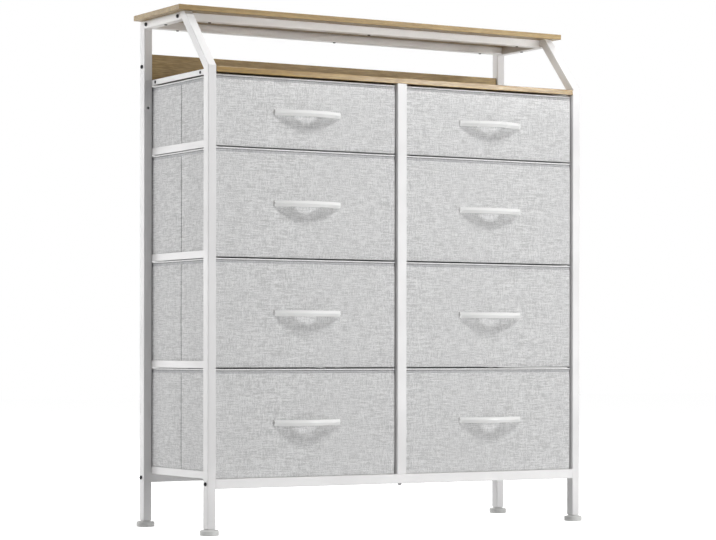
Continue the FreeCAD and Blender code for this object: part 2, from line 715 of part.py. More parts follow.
def make_base_board():
    """The stiff board that lies on the floor of a drawer."""
    body = make_body("base_board")
    sketch = make_sketch(body, "XY", "drawer_floor + base_thickness / 2")
    draw_polygon(sketch, rectangle("-bay_half + base_play",
                                   "drawer_face + drawer_front_wall + base_play",
                                   "bay_half - base_play",
                                   "drawer_back - hem_proud - drawer_wall - base_play"))
    extrude(body, sketch, "base_thickness")
    return body


def bow(half_chord, rise):
    """Formula for the radius of an arc with a half chord and a rise."""
    return f"(({half_chord}) ^ 2 + ({rise}) ^ 2) / (2 * ({rise}))"


def make_handle():
    """A bow handle centred on X = 0 and Z = 0, its feet on the plane of the fabric fronts.

    Seen from above it is a crescent: a long outer arc, a shorter inner arc behind the fingers,
    and between them two solid feet with blind screw holes.
    """
    half = sheet.get("handle_length") / 2
    tip = sheet.get("handle_tip")
    reach = sheet.get("handle_projection")
    opening = sheet.get("handle_opening") / 2
    hollow = reach - sheet.get("handle_grip")
    body = make_body("handle")
    sketch = make_sketch(body, "XY")
    bind(sketch, AttachmentOffset__Base__y="drawer_face")
    sketch.addGeometry([
        Part.LineSegment(Vector(-half, 0), Vector(-half, -tip)),
        Part.Arc(Vector(-half, -tip), Vector(0, -reach), Vector(half, -tip)),
        Part.LineSegment(Vector(half, -tip), Vector(half, 0)),
        Part.LineSegment(Vector(half, 0), Vector(opening, 0)),
        Part.Arc(Vector(-opening, 0), Vector(0, -hollow), Vector(opening, 0)),
        Part.LineSegment(Vector(-opening, 0), Vector(-half, 0)),
    ], False)
    join(sketch, (0, 2, 1, 1), (1, 2, 2, 1), (2, 2, 3, 1), (3, 2, 4, 2), (4, 1, 5, 1), (5, 2, 0, 1))
    pin(sketch, 0, 1, "-handle_length / 2", "0")
    pin(sketch, 0, 2, "-handle_length / 2", "-handle_tip")
    pin(sketch, 2, 1, "handle_length / 2", "-handle_tip")
    pin(sketch, 2, 2, "handle_length / 2", "0")
    pin(sketch, 3, 2, "handle_opening / 2", "0")
    pin(sketch, 5, 1, "-handle_opening / 2", "0")
    for arc, radius in ((1, bow("handle_length / 2", "handle_projection - handle_tip")),
                        (4, bow("handle_opening / 2", "handle_projection - handle_grip"))):
        index = sketch.addConstraint(Sketcher.Constraint("Radius", arc, sketch.Geometry[arc].Radius))
        sketch.setExpression(f"Constraints[{index}]", bound(radius))
    extrude(body, sketch, "handle_height")
    rise = reach - tip
    round_edges(body, is_circle((half ** 2 + rise ** 2) / (2 * rise)), "handle_round")
    for sign in (-1, 1):
        drill(body, "handle_screw_hole", "handle_hole_depth", f"{sign} * handle_hole_spacing / 2",
              "drawer_face", "0", TO_FRONT)
    return body


def make_drawers():
    """Every drawer: its fabric shell, its base board, its handle and its two handle screws."""
    shells = {"tall_height": make_drawer_shell("tall_shell", "tall_height"),
              "short_height": make_drawer_shell("short_shell", "short_height")}
    base = make_base_board()
    handle = make_handle()
    screw = make_fastener("handle_screw", "handle_screw_head", "handle_screw_head_height",
                          "handle_screw_shank", "handle_screw_length")
    nodes = []
    for name, side in SIDES:
        for row in range(1, ROWS + 1):
            drawer = f"{name}_drawer_{row}"
            height = "short_height" if row == ROWS else "tall_height"
            x = f"{side} * column_centre"
            z = f"{row_level(row)} + drawer_seat"
            middle = f"{z} + ({height}) / 2"
            screws = [make_copy(f"{drawer}_screw_{number}", screw,
                                f"{x} + ({sign}) * handle_hole_spacing / 2",
                                "drawer_face + drawer_front_wall", middle, TO_FRONT)
                      for number, sign in ((1, -1), (2, 1))]
            nodes += [make_copy(f"{drawer}_shell", shells[height], x, "0", z),
                      make_copy(f"{drawer}_base", base, x, "0", z),
                      make_copy(f"{drawer}_handle", handle, x, "0", middle),
                      make_group(f"{drawer}_screws", screws)]
    return nodes


# ---------------------------------------------------------------------------------------------
# Checks and export
# ---------------------------------------------------------------------------------------------
def check_features():
    """Stop if a feature failed, or if a cut took nothing away."""
    for item in document.Objects:
        if "Invalid" in item.State or "Error" in item.State:
            raise RuntimeError(f"{item.Label} failed: {item.State}")
        if item.isDerivedFrom("PartDesign::Pocket") or item.isDerivedFrom("PartDesign::SubtractiveCylinder"):
            if item.Shape.Volume > item.BaseFeature.Shape.Volume - 1.0:
                raise RuntimeError(f"{item.Label} cuts nothing")


def export(nodes):
    """Write each node's shape to its own file, once all of them are sound."""
    for node in nodes:
        shape = Part.getShape(node)
        if shape.isNull() or not shape.isValid() or not shape.Solids:
            raise RuntimeError(f"{node.Label} has no sound solid")
    os.makedirs("parts", exist_ok=True)
    for node in nodes:
        Part.getShape(node).exportStep(f"parts/{node.Label}.step")


sheet = make_sheet()
parts = []
for side_name, side_sign in SIDES:
    parts.append(make_front_post(side_name, side_sign))
    parts.append(make_rear_post(side_name, side_sign))
    parts.append(make_strut(side_name, side_sign))
    parts.append(make_shelf_side_rail(side_name, side_sign))
    parts.append(make_board_rail(side_name, side_sign))
parts.append(make_shelf_rail("shelf_front_rail", "front_shelf_rail + shelf_rail_depth / 2"))
parts.append(make_shelf_rail("shelf_rear_rail", "rear_shelf_rail + shelf_rail_depth / 2"))
parts.append(make_bottom_rail("bottom_front_rail", "front_rail_centre"))
parts.append(make_bottom_rail("bottom_rear_rail", "rear_rail_centre"))
parts.append(make_centre_post("centre_front_post", "front", "front_rail_centre"))
parts.append(make_centre_post("centre_rear_post", "back - centre_post_depth", "rear_rail_centre"))
parts.append(make_group("side_runners", [make_side_runner(side_name, side_sign, row)
                                         for side_name, side_sign in SIDES
                                         for row in range(1, ROWS + 1)]))
parts.append(make_group("centre_runners", [make_centre_runner(row) for row in range(1, ROWS + 1)]))
parts.append(make_top_board())
parts.append(make_back_board())
parts.append(make_shelf_board())
parts.append(make_frame_bolts())
parts.append(make_board_screws())
parts.append(make_post_plugs())
parts.extend(make_feet())
parts.extend(make_drawers())

document.recompute()
check_features()
export(parts)
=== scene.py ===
"""A fabric drawer dresser: white steel frame, wood-grain boards and eight linen drawers.

Lengths are in metres: +X to the right, +Y to the back, +Z up, with the floor at Z = 0.
"""
import logging
import math
from dataclasses import dataclass
from enum import Enum, IntEnum
from typing import Any, Callable, Iterable, Sequence

import bmesh
import bpy
from mathutils import Matrix, Vector, noise


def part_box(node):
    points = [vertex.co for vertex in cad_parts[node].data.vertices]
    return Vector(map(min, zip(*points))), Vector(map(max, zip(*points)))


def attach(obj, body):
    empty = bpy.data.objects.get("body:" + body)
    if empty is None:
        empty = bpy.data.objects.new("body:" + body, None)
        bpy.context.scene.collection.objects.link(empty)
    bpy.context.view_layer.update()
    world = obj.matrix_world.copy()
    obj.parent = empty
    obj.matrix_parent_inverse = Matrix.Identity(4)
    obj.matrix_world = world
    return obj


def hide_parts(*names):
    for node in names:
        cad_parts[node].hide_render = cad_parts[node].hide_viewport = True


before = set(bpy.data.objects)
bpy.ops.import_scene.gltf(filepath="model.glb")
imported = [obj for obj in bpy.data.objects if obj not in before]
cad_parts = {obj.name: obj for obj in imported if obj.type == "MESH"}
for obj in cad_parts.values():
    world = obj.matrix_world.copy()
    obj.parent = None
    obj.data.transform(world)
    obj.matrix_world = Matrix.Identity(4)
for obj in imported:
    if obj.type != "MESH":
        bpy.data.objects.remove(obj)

log = logging.getLogger("dresser")

MM = 0.001
ROWS = 4
WHITE = (1.0, 1.0, 1.0, 1.0)
# Points nearer than this are one point, in a CAD mesh and in a mesh built here.
WELD = 1e-6
TOUCH = 1e-7

Color = tuple[float, float, float, float]
Spot = tuple[float, float, float]
Yarns = tuple[tuple[Spot, float, float], ...]
Socket = bpy.types.NodeSocket


class Side(Enum):
    """The two sides of the dresser, seen from the front."""

    LEFT = -1
    RIGHT = 1

    @property
    def word(self) -> str:
        """The side's name in lower case."""
        return self.name.lower()


class Drive(Enum):
    """The recess in a fastener's head."""

    HEX = "hex"
    CROSS = "cross"


class Cloth(IntEnum):
    """The cloths of a drawer, each with its material's index: the wall's cloth and copies of it in other
    tones, the fold's paler copy a painted highlight and the creases' darker copy painted shade.
    """

    WALL = 0
    BINDING = 1
    FOLD = 2
    SEAM = 3


# ---- Node helpers ----
class NodeNet:
    """A thin wrapper that adds and links the nodes of one material or node group."""

    def __init__(self, tree: bpy.types.NodeTree) -> None:
        """Start on an empty tree.

        Args:
            tree: The material's or the group's node tree.
        """
        self.tree = tree
        tree.nodes.clear()

    def feed(self, target: Socket, value: Any) -> None:
        """Link an output to an input, or set the input's value.

        Args:
            target: The input.
            value: An output socket, or the value.
        """
        if isinstance(value, Socket):
            self.tree.links.new(value, target)
        else:
            target.default_value = value

    def fill(self, node: bpy.types.Node, inputs: dict[str | int, Any]) -> None:
        """Link or set several inputs of a node."""
        for key, value in inputs.items():
            self.feed(node.inputs[key], value)

    def add(self, kind: str, inputs: dict | None = None, **settings: Any) -> bpy.types.Node:
        """Add a node, set its properties and fill or link its inputs.

        Args:
            kind: The node's type name.
            inputs: Input names or indices, with a value or an output socket each.
            settings: Properties of the node.

        Returns:
            The new node.
        """
        node = self.tree.nodes.new(kind)
        for name, value in settings.items():
            setattr(node, name, value)
        self.fill(node, inputs or {})
        return node

    def math(self, operation: str, *values: float | Socket) -> Socket:
        """Add a Math node.

        Args:
            operation: The operation's name.
            values: Its numbers or output sockets.

        Returns:
            The result's socket.
        """
        return self.add("ShaderNodeMath", dict(enumerate(values)), operation=operation).outputs[0]

    def total(self, *terms: tuple[float | Socket, float]) -> Socket:
        """Add up values, each times its weight.

        Args:
            terms: Each value with its weight.

        Returns:
            The sum's socket.
        """
        found = [self.math("MULTIPLY", value, weight) for value, weight in terms]
        while len(found) > 1:
            found[:2] = [self.math("ADD", found[0], found[1])]
        return found[0]

    def noise(self, vector: Socket, scale: float | Socket, detail: float = 2.0,
              roughness: float = 0.5) -> Socket:
        """Add a Noise Texture.

        Args:
            vector: The socket with its coordinates.
            scale: Its scale, or the socket of it.
            detail: Its number of octaves.
            roughness: How strong each finer octave is.

        Returns:
            The socket of its factor.
        """
        inputs = {"Vector": vector, "Scale": scale, "Detail": detail, "Roughness": roughness}
        return self.add("ShaderNodeTexNoise", inputs).outputs["Fac"]

    def stretch(self, vector: Socket, scale: Sequence[float]) -> Socket:
        """Scale coordinates.

        Args:
            vector: The socket with the coordinates.
            scale: The factor along each axis.

        Returns:
            The socket of the new coordinates.
        """
        return self.add("ShaderNodeMapping", {"Vector": vector, "Scale": scale}).outputs[0]

    def remap(self, value: Socket, low: float, high: float, to_low: float = 0.0,
              to_high: float = 1.0) -> Socket:
        """Map a range of values smoothly to another.

        Args:
            value: The socket to map.
            low: The value that gives to_low.
            high: The value that gives to_high.
            to_low: The lowest result.
            to_high: The highest result.

        Returns:
            The socket of the result.
        """
        inputs = {"Value": value, "From Min": low, "From Max": high, "To Min": to_low, "To Max": to_high}
        return self.add("ShaderNodeMapRange", inputs, interpolation_type="SMOOTHSTEP").outputs[0]

    def blend(self, factor: Socket, first: Color | Socket, second: Color | Socket) -> Socket:
        """Mix two colours.

        Args:
            factor: The share of the second colour.
            first: The first colour or socket.
            second: The second colour or socket.

        Returns:
            The socket of the mixed colour.
        """
        node = self.add("ShaderNodeMix", data_type="RGBA")
        sockets = {"Factor_Float": factor, "A_Color": first, "B_Color": second}
        for socket in node.inputs:
            if socket.identifier in sockets:
                self.feed(socket, sockets[socket.identifier])
        return next(s for s in node.outputs if s.identifier == "Result_Color")

    def bump(self, height: Socket, distance: float, strength: float) -> Socket:
        """Turn a height into a normal.

        Args:
            height: The socket of the height.
            distance: The depth of a height of 1, in metres.
            strength: How strongly it shows.

        Returns:
            The socket of the normal.
        """
        inputs = {"Height": height, "Distance": distance, "Strength": strength}
        return self.add("ShaderNodeBump", inputs).outputs[0]

    def group(self, tree: bpy.types.NodeTree, inputs: dict) -> bpy.types.Node:
        """Place a node group.

        Args:
            tree: The group.
            inputs: Its inputs by name.

        Returns:
            The group's node.
        """
        return self.add("ShaderNodeGroup", inputs, node_tree=tree)


def rgba(red: float, green: float, blue: float) -> Color:
    """Turn display values from 0 to 255 into a linear colour.

    Args:
        red: Red, as displayed.
        green: Green, as displayed.
        blue: Blue, as displayed.

    Returns:
        The linear colour with an alpha of 1.
    """
    def linear(value: float) -> float:
        """One channel, linear."""
        value /= 255.0
        return value / 12.92 if value <= 0.04045 else ((value + 0.055) / 1.055) ** 2.4
    return linear(red), linear(green), linear(blue), 1.0


class Effects:
    """The shared node groups, each built once."""

    # The peel's clouds a metre and their octaves.
    clouds: tuple[float, float] = (9.0, 3.0)
    # The linen's yarns and slubs: repeats a metre along the wall, up it and through it, octaves, weight.
    levels: Yarns = (((44, 560, 3), 0.0, 0.42), ((330, 760, 3), 1.0, 0.58))
    uprights: Yarns = (((500, 64, 3), 0.0, 0.45), ((760, 260, 3), 1.0, 0.55))
    # Where the upright yarns show: patches a metre, their octaves, and how a patch becomes a share.
    patches: tuple[float, float] = (34.0, 1.0)
    patch_share: tuple[float, float, float, float] = (0.4, 0.64, 0.26, 0.56)
    # The heather over both: its repeats a metre, its octaves and its weight, and the tones that count.
    heather: tuple[float, float, float] = (60.0, 2.0, 0.08)
    yarn_tones: tuple[float, float] = (0.36, 0.64)
    # The relief of each way of threads, and that of the tone.
    thread_relief: float = 0.35
    tone_relief: float = 0.6
    # The wood's slow wander, how far it bends the grain in Y and in Z, and the grain's length.
    wander: Spot = (2.2, 9, 9)
    bends: tuple[float, float] = (0.05, 0.03)
    grain_length: float = 0.022
    # Octaves and roughness of its bands, and the tones that count.
    band: tuple[float, float] = (3.0, 0.55)
    band_tones: tuple[float, float] = (0.30, 0.70)
    # Its streaks: how much shorter than the bands, repeats a metre, octaves, roughness, and their tones.
    streak_cut: Spot = (3.0, 1.0, 1.0)
    streak: tuple[float, float, float] = (520.0, 3.0, 0.6)
    streak_tones: tuple[float, float] = (0.32, 0.68)
    # Its pores: repeats a metre, and the tones that count.
    pores: Spot = (60, 1500, 1500)
    pore_tones: tuple[float, float] = (0.60, 0.72)

    def __init__(self) -> None:
        """Build every group."""
        self.orange_peel = self._orange_peel()
        self.linen = self._linen()
        self.grain = self._grain()

    @staticmethod
    def _start(name: str, scale: tuple[str, float],
               outputs: Iterable[str]) -> tuple[NodeNet, bpy.types.Node, bpy.types.Node]:
        """Start a group with its sockets: a vector, a scale and its outputs.

        Args:
            name: The group's name.
            scale: The name of the scale's input and its default.
            outputs: Names of the value outputs.

        Returns:
            The net, the group's input node and its output node.
        """
        tree = bpy.data.node_groups.new(name, "ShaderNodeTree")
        tree.interface.new_socket("Vector", in_out="INPUT", socket_type="NodeSocketVector")
        socket = tree.interface.new_socket(scale[0], in_out="INPUT", socket_type="NodeSocketFloat")
        socket.default_value = scale[1]
        for key in outputs:
            tree.interface.new_socket(key, in_out="OUTPUT", socket_type="NodeSocketFloat")
        net = NodeNet(tree)
        return net, net.add("NodeGroupInput"), net.add("NodeGroupOutput")

    def _orange_peel(self) -> bpy.types.NodeTree:
        """The fine unevenness of paint and moulded plastic: a height, and a slow clouding.

        Returns:
            The group.
        """
        net, given, out = self._start("orange_peel", ("Scale", 900.0), ("Height", "Cloud"))
        place = given.outputs["Vector"]
        net.fill(out, {"Height": net.noise(place, given.outputs["Scale"]),
                       "Cloud": net.noise(place, *self.clouds)})
        return net.tree

    def _linen(self) -> bpy.types.NodeTree:
        """A plain weave with slubs, level threads along the walls and upright threads across them.

        Returns:
            The group, whose Tone runs from dark to light yarn and whose Height is the weave's relief.
        """
        net, given, out = self._start("linen_weave", ("Yarn", 850.0), ("Tone", "Height"))
        parts = net.add("ShaderNodeSeparateXYZ", {0: given.outputs["Vector"]}).outputs
        along = net.math("ADD", parts["X"], parts["Y"])
        across = net.math("SUBTRACT", parts["X"], parts["Y"])
        flat = net.add("ShaderNodeCombineXYZ", {"X": along, "Y": parts["Z"], "Z": across}).outputs[0]
        levels, uprights = (
            net.total(*((net.noise(net.stretch(flat, repeats), 1.0, octaves), weight)
                        for repeats, octaves, weight in yarns))
            for yarns in (self.levels, self.uprights))
        patch = net.remap(net.noise(flat, *self.patches), *self.patch_share)
        swap = net.math("MULTIPLY", patch, net.math("SUBTRACT", uprights, levels))
        repeats, octaves, weight = self.heather
        tone = net.total((net.math("ADD", levels, swap), 1 - weight),
                         (net.noise(flat, repeats, octaves), weight))
        turns = net.math("MULTIPLY", given.outputs["Yarn"], math.pi)
        threads = [(net.math("ABSOLUTE", net.math("SINE", net.math("MULTIPLY", way, turns))),
                    self.thread_relief) for way in (along, parts["Z"])]
        net.fill(out, {"Tone": net.remap(tone, *self.yarn_tones),
                       "Height": net.total(*threads, (tone, self.tone_relief))})
        return net.tree

    def _grain(self) -> bpy.types.NodeTree:
        """Wood grain that runs along X: broad bands, fine streaks and short pores.

        Returns:
            The group, with Band and Streak from dark to light, and Pore 1 in a pore.
        """
        net, given, out = self._start("wood_grain", ("Bands", 60.0), ("Band", "Streak", "Pore"))
        place = given.outputs["Vector"]
        parts = net.add("ShaderNodeSeparateXYZ", {0: place}).outputs
        wander = net.math("SUBTRACT", net.noise(net.stretch(place, self.wander), 1.0, 2.0), 0.5)
        push, lift = (net.math("MULTIPLY", wander, bend) for bend in self.bends)
        bent = net.add("ShaderNodeCombineXYZ", {
            "X": net.math("MULTIPLY", parts["X"], self.grain_length),
            "Y": net.math("ADD", parts["Y"], push),
            "Z": net.math("ADD", parts["Z"], lift)}).outputs[0]
        band = net.noise(bent, given.outputs["Bands"], *self.band)
        streak = net.noise(net.stretch(bent, self.streak_cut), *self.streak)
        pore = net.noise(net.stretch(place, self.pores), 1.0, 1.0)
        net.fill(out, {"Band": net.remap(band, *self.band_tones),
                       "Streak": net.remap(streak, *self.streak_tones),
                       "Pore": net.remap(pore, *self.pore_tones)})
        return net.tree


# ---- Finishes ----
@dataclass(frozen=True)
class Finish:
    """A surface finish: its name, its base colour and its gloss."""

    name: str
    color: Color
    roughness: float

    def start(self) -> tuple[bpy.types.Material, NodeNet, bpy.types.Node, Socket]:
        """Start a material with one Principled shader.

        Returns:
            The material, its net, the shader's node and the socket of the object's coordinates.
        """
        material = bpy.data.materials.new(self.name)
        material.use_nodes = True
        net = NodeNet(material.node_tree)
        inputs = {"Base Color": self.color, "Roughness": self.roughness}
        shader = net.add("ShaderNodeBsdfPrincipled", inputs)
        net.add("ShaderNodeOutputMaterial", {"Surface": shader.outputs[0]})
        place = net.add("ShaderNodeTexCoord").outputs["Object"]
        return material, net, shader, place

    def shaded(self, share: float) -> Color:
        """The base colour darkened to a share of itself."""
        return tuple(value * share for value in self.color[:3]) + (1.0,)


@dataclass(frozen=True)
class Skin(Finish):
    """A plain skin, whose colour and gloss follow its fine unevenness or a slow clouding.

    The peel repeats texture times a metre, clouding is the shade of its darkest parts, contrast
    narrows what the colour follows, and gloss is what the roughness gains from low to high.
    """

    texture: float = 620.0
    relief: float = 0.06 * MM
    bite: float = 0.6
    follows: str = "Cloud"
    clouding: float = 0.965
    contrast: tuple[float, float] | None = None
    spread: tuple[float, float] = (0.3, 0.7)
    gloss: tuple[float, float] = (-0.04, 0.05)
    extras: tuple[tuple[str, float], ...] = ()

    def material(self, effects: Effects) -> bpy.types.Material:
        """Build the skin.

        Args:
            effects: The shared node groups.

        Returns:
            The material.
        """
        material, net, shader, place = self.start()
        peel = net.group(effects.orange_peel, {"Vector": place, "Scale": self.texture}).outputs
        guide = peel[self.follows]
        share = net.remap(guide, *self.contrast) if self.contrast else guide
        gloss = (self.roughness + step for step in self.gloss)
        net.fill(shader, {"Base Color": net.blend(share, self.color, self.shaded(self.clouding)),
                          "Roughness": net.remap(guide, *self.spread, *gloss),
                          "Normal": net.bump(peel["Height"], self.relief, self.bite),
                          **dict(self.extras)})
        return material


@dataclass(frozen=True)
class PowderCoat(Skin):
    """Smooth white powder coat on steel, with the faint orange peel of baked paint."""

    contrast: tuple[float, float] | None = (0.35, 0.65)
    extras: tuple[tuple[str, float], ...] = (("Specular IOR Level", 0.45),)


@dataclass(frozen=True)
class MouldedPlastic(Skin):
    """Moulded plastic with a fine or a glossy skin."""

    texture: float = 1200.0
    relief: float = 0.04 * MM
    bite: float = 0.7
    clouding: float = 0.95
    gloss: tuple[float, float] = (0.0, 0.06)
    extras: tuple[tuple[str, float], ...] = (("Coat Weight", 0.0), ("Coat Roughness", 0.12))


@dataclass(frozen=True)
class Metal(Skin):
    """Bare or blackened steel with fine turning marks."""

    texture: float = 2600.0
    relief: float = 0.03 * MM
    follows: str = "Height"
    clouding: float = 0.7
    gloss: tuple[float, float] = (0.0, 0.14)
    extras: tuple[tuple[str, float], ...] = (("Metallic", 0.9),)


@dataclass(frozen=True)
class Laminate(Finish):
    """Wood-grain laminate, its grain along X and its sheen low."""

    dark: Color
    pale: Color
    bands: float = 62.0
    # How strongly streaks and pores darken it, and how high a streak stands over a pore's depth.
    streaks: float = 0.55
    pores: float = 0.35
    streak_height: float = 0.5
    gloss: tuple[float, float] = (0.08, -0.04)
    relief: float = 0.04 * MM
    bite: float = 0.5

    def material(self, effects: Effects) -> bpy.types.Material:
        """Build the laminate.

        Args:
            effects: The shared node groups.

        Returns:
            The material.
        """
        material, net, shader, place = self.start()
        grain = net.group(effects.grain, {"Vector": place, "Bands": self.bands}).outputs
        body = net.blend(grain["Band"], self.color, self.pale)
        darkness = net.math("MULTIPLY", net.math("SUBTRACT", 1.0, grain["Streak"]), self.streaks)
        streaked = net.blend(darkness, body, self.dark)
        shown = net.blend(net.math("MULTIPLY", grain["Pore"], self.pores), streaked, self.dark)
        gloss = (self.roughness + step for step in self.gloss)
        rise = net.math("MULTIPLY", grain["Streak"], self.streak_height)
        height = net.math("SUBTRACT", rise, grain["Pore"])
        net.fill(shader, {"Base Color": shown,
                          "Roughness": net.remap(grain["Streak"], 0.0, 1.0, *gloss),
                          "Normal": net.bump(height, self.relief, self.bite)})
        return material


@dataclass(frozen=True)
class Linen(Finish):
    """Heathered linen-look cloth: a weave of paler and darker yarns with a soft sheen."""

    dark: Color
    yarn: float = 850.0
    gloss: tuple[float, float] = (0.05, -0.05)
    relief: float = 0.35 * MM
    bite: float = 0.55

    def material(self, effects: Effects) -> bpy.types.Material:
        """Build the cloth.

        Args:
            effects: The shared node groups.

        Returns:
            The material.
        """
        material, net, shader, place = self.start()
        weave = net.group(effects.linen, {"Vector": place, "Yarn": self.yarn}).outputs
        gloss = (self.roughness + step for step in self.gloss)
        net.fill(shader, {"Base Color": net.blend(weave["Tone"], self.dark, self.color),
                          "Roughness": net.remap(weave["Tone"], 0.0, 1.0, *gloss),
                          "Normal": net.bump(weave["Height"], self.relief, self.bite),
                          "Sheen Weight": 0.12, "Sheen Roughness": 0.5, "Specular IOR Level": 0.2})
        return material


@dataclass(frozen=True)
class Fibreboard(Finish):
    """Thin pressed board under a grey felted skin."""

    yarn: float = 400.0
    texture: float = 480.0
    felting: float = 0.6
    clouding: float = 0.8
    spread: tuple[float, float] = (0.3, 0.7)
    gloss: tuple[float, float] = (-0.04, 0.04)
    relief: float = 0.15 * MM
    bite: float = 0.7

    def material(self, effects: Effects) -> bpy.types.Material:
        """Build the board.

        Args:
            effects: The shared node groups.

        Returns:
            The material.
        """
        material, net, shader, place = self.start()
        weave = net.group(effects.linen, {"Vector": place, "Yarn": self.yarn}).outputs
        peel = net.group(effects.orange_peel, {"Vector": place, "Scale": self.texture}).outputs
        felt = net.total((weave["Tone"], 1 - self.felting), (peel["Height"], self.felting))
        gloss = (self.roughness + step for step in self.gloss)
        net.fill(shader, {"Base Color": net.blend(felt, self.shaded(self.clouding), self.color),
                          "Roughness": net.remap(peel["Cloud"], *self.spread, *gloss),
                          "Normal": net.bump(peel["Height"], self.relief, self.bite)})
        return material


class Palette:
    """Every finish of the dresser, each made a material once."""

    def __init__(self) -> None:
        """Build the materials."""
        effects = Effects()
        self.paint = PowderCoat("white_powder_coat", rgba(225, 224, 224), 0.34).material(effects)
        self.oak, self.shelf_oak, self.back_oak = (
            Laminate(name, rgba(*body), gloss, rgba(*dark), rgba(*pale)).material(effects)
            for name, gloss, body, dark, pale in (
                ("oak_laminate", 0.18, (147, 117, 58), (99, 70, 31), (173, 143, 80)),
                ("shelf_oak_laminate", 0.34, (146, 121, 70), (99, 73, 36), (171, 146, 94)),
                # A paler copy of the oak: painted light on the back board, which sits in shade under the
                # shelf.
                ("back_oak_laminate", 0.42, (159, 130, 66), (102, 75, 34), (183, 155, 90))))
        self.cloth, self.binding, self.fold, self.seam, self.thread = (
            Linen(name, rgba(*pale), rough, rgba(*dark), yarn).material(effects)
            for name, rough, pale, dark, yarn in (
                ("grey_linen", 0.88, (231, 231, 231), (189, 189, 189), 850.0),
                # A darker copy of the cloth for the band under the rim.
                ("grey_binding", 0.88, (206, 206, 208), (176, 176, 178), 1100.0),
                # A paler copy of the cloth: painted highlight on the fold of the rim.
                ("grey_fold", 0.8, (248, 248, 248), (226, 226, 226), 1100.0),
                # A darker copy of the cloth: painted shade in the creases.
                ("grey_seam", 0.9, (150, 150, 151), (116, 116, 117), 1100.0),
                ("grey_thread", 0.8, (188, 188, 188), (150, 150, 150), 2400.0)))
        self.base = Fibreboard("grey_fibreboard", rgba(196, 195, 192), 0.85).material(effects)
        coat = (("Coat Weight", 0.25), ("Coat Roughness", 0.12))
        self.handle = MouldedPlastic("white_gloss_plastic", rgba(243, 243, 242), 0.22, texture=300.0,
                                     relief=0.02 * MM, extras=coat).material(effects)
        self.foot = MouldedPlastic("pale_grey_plastic", rgba(214, 214, 212), 0.48).material(effects)
        self.plug = MouldedPlastic("grey_plastic", rgba(190, 190, 188), 0.5).material(effects)
        self.black = Metal("black_oxide_steel", rgba(52, 52, 54), 0.38).material(effects)
        self.zinc = Metal("zinc_steel", rgba(206, 206, 204), 0.3).material(effects)


# ---- Mesh helpers ----
def make_piece(bm: bmesh.types.BMesh, name: str, materials: Sequence[bpy.types.Material],
               sharp: float = 40.0) -> bpy.types.Object:
    """Turn a bmesh into a shown piece with smooth shading.

    Args:
        bm: The finished bmesh, which is freed.
        name: The piece's name.
        materials: Its materials, in the order of their indices.
        sharp: The angle past which an edge shows sharp, in degrees.

    Returns:
        The new object, at the origin.
    """
    mesh = bpy.data.meshes.new(name)
    bm.to_mesh(mesh)
    bm.free()
    mesh.shade_smooth()
    mesh.set_sharp_from_angle(angle=math.radians(sharp))
    for material in materials:
        mesh.materials.append(material)
    piece = bpy.data.objects.new(name, mesh)
    bpy.context.scene.collection.objects.link(piece)
    return piece


def lathe(profile: Sequence[tuple[float, float]], steps: int) -> bmesh.types.BMesh:
    """Turn a profile about the Z axis.

    Args:
        profile: Points as (radius, height), from one pole to the other.
        steps: The number of sides.

    Returns:
        The closed shape.
    """
    bm = bmesh.new()
    points = [bm.verts.new((radius, 0, height)) for radius, height in profile]
    edges = [bm.edges.new(pair) for pair in zip(points, points[1:])]
    bmesh.ops.spin(bm, geom=points + edges, cent=(0, 0, 0), axis=(0, 0, 1), dvec=(0, 0, 0),
                   angle=math.tau, steps=steps, use_merge=True)
    bmesh.ops.remove_doubles(bm, verts=bm.verts[:], dist=TOUCH)
    bmesh.ops.recalc_face_normals(bm, faces=bm.faces[:])
    return bm


def turn_to(axis: Vector) -> Matrix:
    """The turn that takes +Z to an axis.

    Args:
        axis: The direction, of any length.

    Returns:
        The turn as a 4 by 4 matrix.
    """
    return Vector((0, 0, 1)).rotation_difference(axis).to_matrix().to_4x4()


def add_copy(bm: bmesh.types.BMesh, mesh: bpy.types.Mesh, matrix: Matrix) -> None:
    """Add a moved copy of a mesh to a bmesh.

    Args:
        bm: The bmesh that grows.
        mesh: The mesh to copy.
        matrix: Where the copy goes.
    """
    start = len(bm.verts)
    bm.from_mesh(mesh)
    bm.verts.ensure_lookup_table()
    for vert in bm.verts[start:]:
        vert.co = matrix @ vert.co


def new_parts(made: dict, kind: type) -> list:
    """Pick one kind of element out of what a bmesh operator made."""
    return [item for item in made["geom"] if isinstance(item, kind)]


def dress(node: str, material: bpy.types.Material) -> None:
    """Give a CAD node its material.

    Args:
        node: The node's name.
        material: What it gets on every slot.
    """
    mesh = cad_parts[node].data
    if not mesh.materials:
        mesh.materials.append(material)
    for index in range(len(mesh.materials)):
        mesh.materials[index] = material
    log.info("dressed %s in %s", node, material.name)


def show(piece: bpy.types.Object, body: str, slot: str, *nodes: str) -> bpy.types.Object:
    """Let a piece ride on a body and stand for CAD nodes.

    Args:
        piece: The new piece.
        body: The body that carries it.
        slot: Not used.
        nodes: The CAD nodes that it replaces, if any.

    Returns:
        The piece.
    """
    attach(piece, body)
    if nodes:
        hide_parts(*nodes)
    log.info("built %s on %s, %d faces", piece.name, body, len(piece.data.polygons))
    return piece


